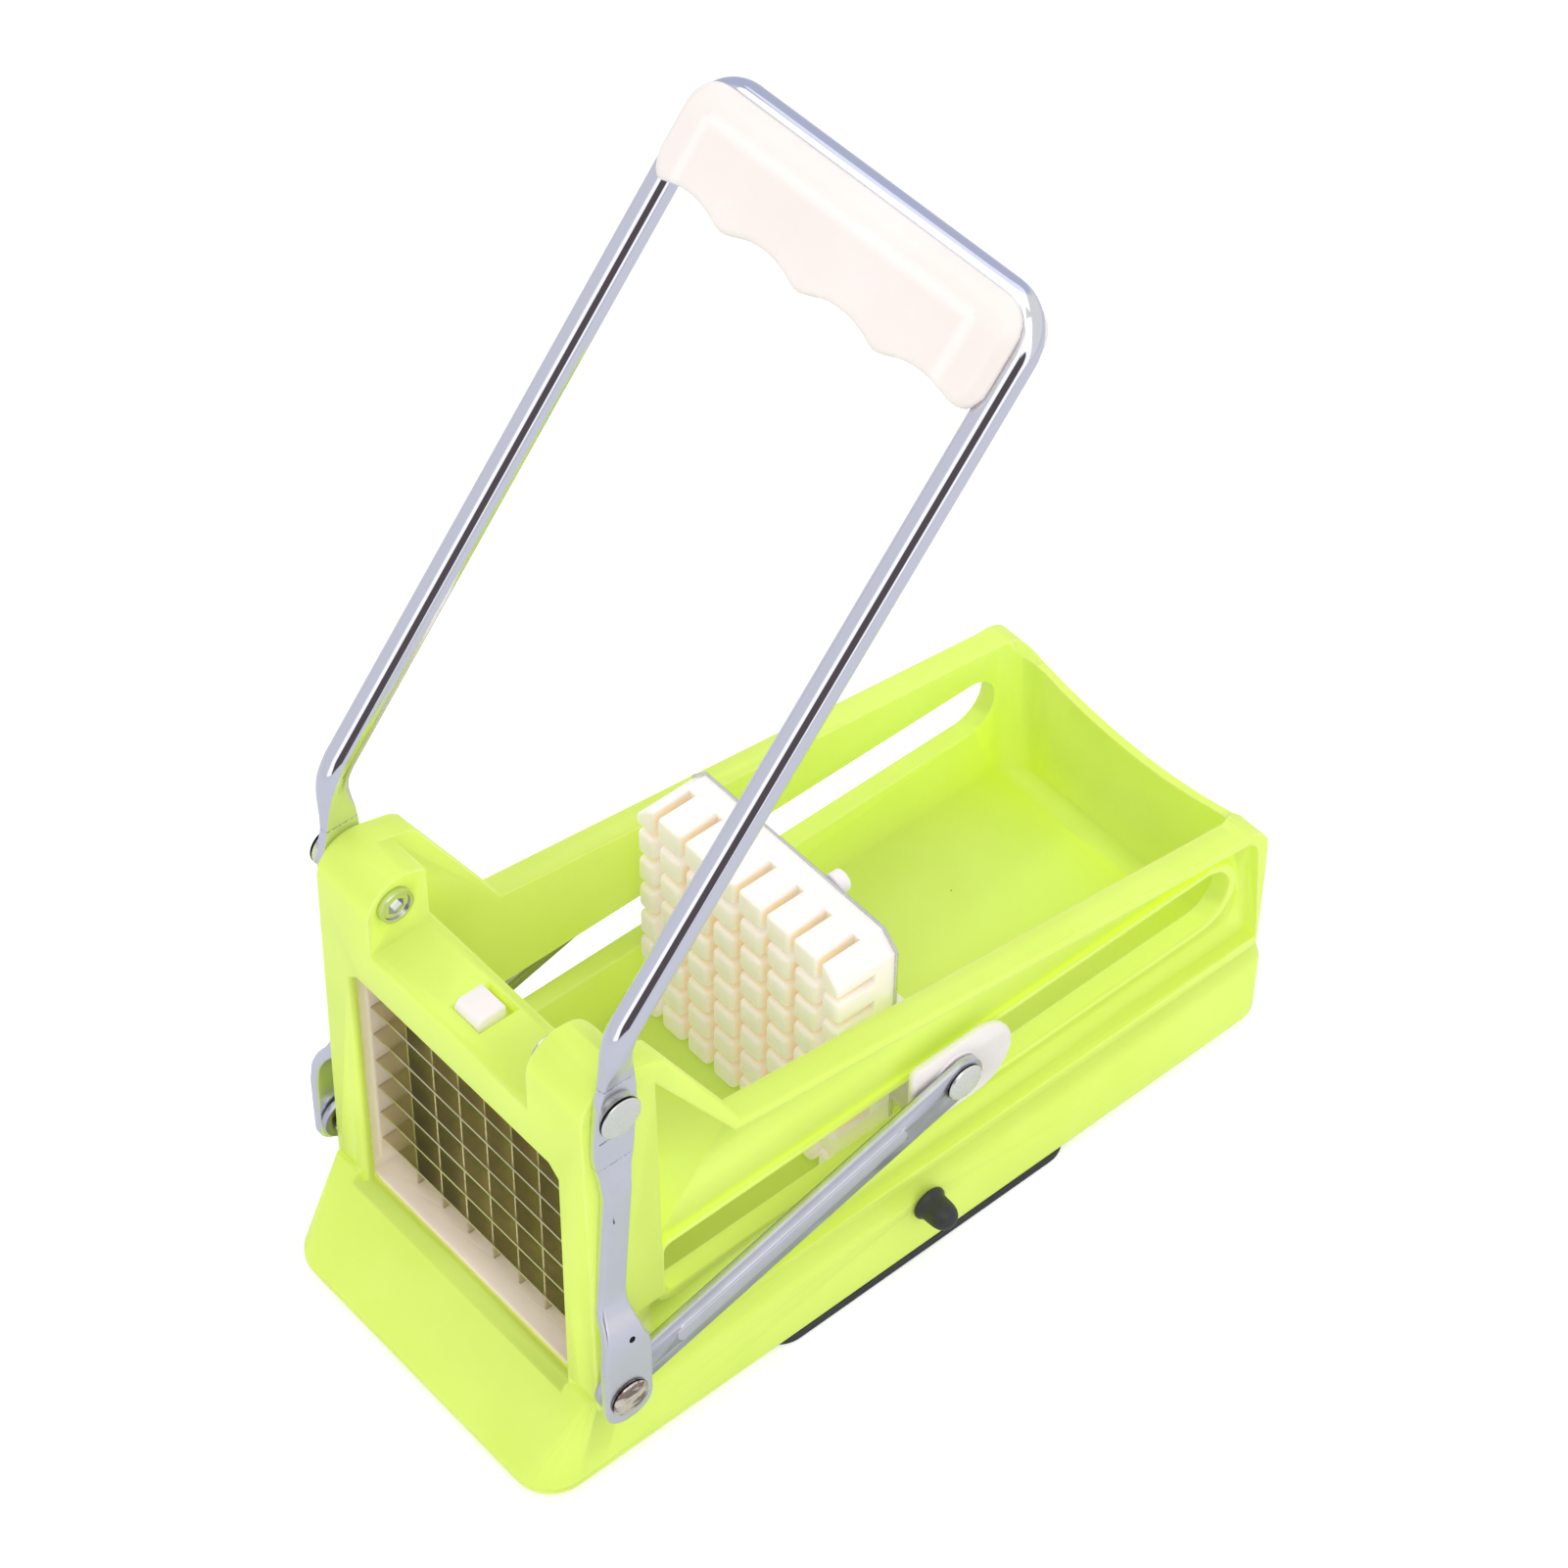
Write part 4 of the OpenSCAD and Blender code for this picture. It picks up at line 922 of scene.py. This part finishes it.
def keep_prongs(body, finish):
    """The pusher's face: one rounded prong repeated for the inner cells, others for its rim."""
    tips, roots = -17.7, -5.2
    corner = [(-2.65, -3.7), (2.65, -3.7), (2.65, -0.7), (-1.3, 3.7), (-2.65, 3.7)]
    shapes = {"inner": (rectangle(7.3, 7.3), 1.4), "flank": (rectangle(5.4, 7.3), 1.3),
              "crown": (rectangle(7.4, 7.4), 0.95), "corner_right": (corner, 0.9),
              "corner_left": ([(-x, z) for x, z in reversed(corner)], 0.9)}
    rim = []
    for kind, places in prong_places().items():
        outline, radius = shapes[kind]
        mesh = repeated("prongs_" + kind, prism(outline, tips, roots, radius), places, finish,
                        spin=0.0)
        if kind == "inner":
            keep_piece(mesh.name, mesh, body, finish, ("pusher_block",))
        else:
            rim.append(mesh)
    base = ((-33.3, 5.4), (-28.9, 1), (28.9, 1), (33.3, 5.4),
            (33.3, 67), (28.9, 71.4), (-28.9, 71.4), (-33.3, 67))
    mesh = prism([(x, GRID_LOW + z) for x, z in base], -6.9, -1.3, 0.12)
    for other in rim:
        teeth = bpy.data.objects.new("teeth", other)
        bpy.context.scene.collection.objects.link(teeth)
        union = {"operation": "UNION", "object": teeth, "solver": "EXACT"}
        mesh = baked(mesh, "prongs_rim", [("BOOLEAN", union)])
        bpy.data.objects.remove(teeth)
    keep_piece(mesh.name, mesh, body, finish, ("pusher_block",))


def knob_mesh():
    """The suction knob: a bullet on a low collar."""
    outline = [(0, 0), (4.2, 0), (4.35, 0.2), (4.3, 0.8), (3.85, 1.3), (3.6, 1.9), (3.5, 4.4),
               (3.4, 5.3), (3.12, 6.3), (2.6, 7.2), (1.9, 7.8), (1.0, 8.2), (0, 8.3)]
    return turned("suction_knob_turned", outline)


def thin_plate():
    """The steel backing plate as a thin sheet against the block."""
    front, share = -1.3 * MM, 0.4
    mesh = nodes["pusher_plate"].data.copy()
    for vert in mesh.vertices:
        vert.co.y = front + (vert.co.y - front) * share
    mesh.name = "pusher_plate_sheet"
    return mesh


REPEATED = {
    "pivot_nuts": (NUT, side_places(47.05, PIVOT_Y, PIVOT_Z)),
    "lower_rivets": (RIVET, side_places(51.7, RIVET_Y, RIVET_Z)),
    "wing_pin_right": (PIN, side_places(48.9, WING_Y, WING_Z, ["right"])),
    "wing_pin_left": (PIN, side_places(48.9, WING_Y, WING_Z, ["left"])),
}
KNOB_PLACE = ((45.75, 0, 17.15), (1, 0, 0))

# the width of the rounding in metres, and how often it is tried again where it tears
SOFTENED = {"housing": (0.0022, 14), "blade_latch": (0.0006, 1), "wing_plates": (0.0006, 1),
            "link_right": (0.0004, 1), "link_left": (0.0004, 1), "blade_frame": (0.0006, 1),
            "pusher_carrier": (0.0005, 1), "suction_pad": (0.0008, 1)}


def dressed(name, finish):
    """The mesh that stands for a solid, or None where the solid itself is shown."""
    if name in SOFTENED:
        return soften(name, *SOFTENED[name])
    if name in REPEATED:
        return repeated(name + "_set", *REPEATED[name], finish)
    if name == "suction_knob":
        return repeated("suction_knob_set", knob_mesh(), [KNOB_PLACE], finish)
    if name == "pusher_plate":
        return thin_plate()
    if name == "lever_tube":
        return lever_mesh()
    if name in ("grip_front", "grip_back"):
        return grip_mesh(name, 1 if name == "grip_front" else -1)
    return None


for name, (finish, slot_name) in FINISH.items():
    if name == "pusher_block":
        keep_prongs(body_of_node[name], finish)
        continue
    mesh = dressed(name, finish)
    if mesh is None:
        nodes[name].data.materials.clear()
        nodes[name].data.materials.append(finish)
    else:
        keep_piece(mesh.name, mesh, body_of_node[name], finish, (name,))

# ---------------------------------------------------------------- floor, world and lamps

STAGE_SIZE = 6.0


def make_floor():
    """A pale floor that looks white to the camera and a little blue in gloss."""
    mesh = bpy.data.meshes.new("floor")
    half = STAGE_SIZE / 2
    mesh.from_pydata([(-half, -half, 0), (half, -half, 0), (half, half, 0), (-half, half, 0)], [],
                     [(0, 1, 2, 3)])
    floor = bpy.data.objects.new("floor", mesh)
    bpy.context.scene.collection.objects.link(floor)
    material = bpy.data.materials.new("floor_white")
    material.use_nodes = True
    material.node_tree.nodes.clear()
    t = Tree(material.node_tree)
    path = t.add("ShaderNodeLightPath").outputs
    tone = t.mix(path["Is Glossy Ray"], (0.88, 0.88, 0.88, 1.0), (0.62, 0.63, 0.70, 1.0))
    matte = t.add("ShaderNodeBsdfDiffuse", {"Color": tone})
    lift = t.times(path["Is Camera Ray"], 0.45)
    glow = t.add("ShaderNodeEmission", {"Color": (1, 1, 1, 1), "Strength": lift})
    both = t.add("ShaderNodeAddShader", {0: matte.outputs[0], 1: glow.outputs[0]})
    t.add("ShaderNodeOutputMaterial", {"Surface": both.outputs[0]})
    mesh.materials.append(material)


# what gloss sees: azimuth and elevation, inner and outer radius, all in degrees, and a colour
ROOM = (0.78, 0.78, 0.78, 1)
PANELS = ((-60, 5, 50, 62, (0.66, 0.67, 0.75, 1)), (-125, 25, 38, 48, (0.50, 0.53, 0.68, 1)),
          (45, 12, 43, 46, (1.2, 1.2, 1.2, 1)), (45, 12, 20, 24, (0.10, 0.082, 0.09, 1)),
          (-40, 62, 24, 27, (1.3, 1.3, 1.3, 1)))


def make_world():
    """White to the camera, a plain fill for matt surfaces, and a studio of panels for gloss."""
    world = bpy.data.worlds.new("studio")
    bpy.context.scene.world = world
    world.use_nodes = True
    world.node_tree.nodes.clear()
    t = Tree(world.node_tree)
    way = t.add("ShaderNodeTexCoord").outputs["Generated"]
    path = t.add("ShaderNodeLightPath").outputs
    room = ROOM
    for azimuth, elevation, inner, outer, colour in PANELS:
        a, e = math.radians(azimuth), math.radians(elevation)
        centre = (math.sin(a) * math.cos(e), -math.cos(a) * math.cos(e), math.sin(e))
        dot = t.add("ShaderNodeVectorMath", {0: way, 1: centre}, operation="DOT_PRODUCT")
        spot = t.ramp(dot.outputs["Value"], math.cos(math.radians(outer)),
                      math.cos(math.radians(inner)))
        room = t.mix(spot, room, colour)
    fill = t.mix(path["Is Camera Ray"], (0.98, 0.98, 0.98, 1), (1, 1, 1, 1))
    colour = t.mix(path["Is Glossy Ray"], fill, room)
    back = t.add("ShaderNodeBackground", {"Color": colour, "Strength": 1.0})
    t.add("ShaderNodeOutputWorld", {"Surface": back.outputs[0]})


def make_lamp(name, at, aim, size, power):
    data = bpy.data.lights.new(name, "AREA")
    data.shape = "SQUARE"
    data.size = size
    data.energy = power
    lamp = bpy.data.objects.new(name, data)
    bpy.context.scene.collection.objects.link(lamp)
    lamp.location = at
    lamp.rotation_euler = (Vector(aim) - Vector(at)).to_track_quat("-Z", "Y").to_euler()


make_floor()
make_world()
make_lamp("key_panel", (0.9, -0.5, 1.5), (0, 0, 0.08), 1.2, 3)
make_lamp("top_panel", (-0.3, 0.3, 1.6), (0, 0, 0.05), 1.2, 2)
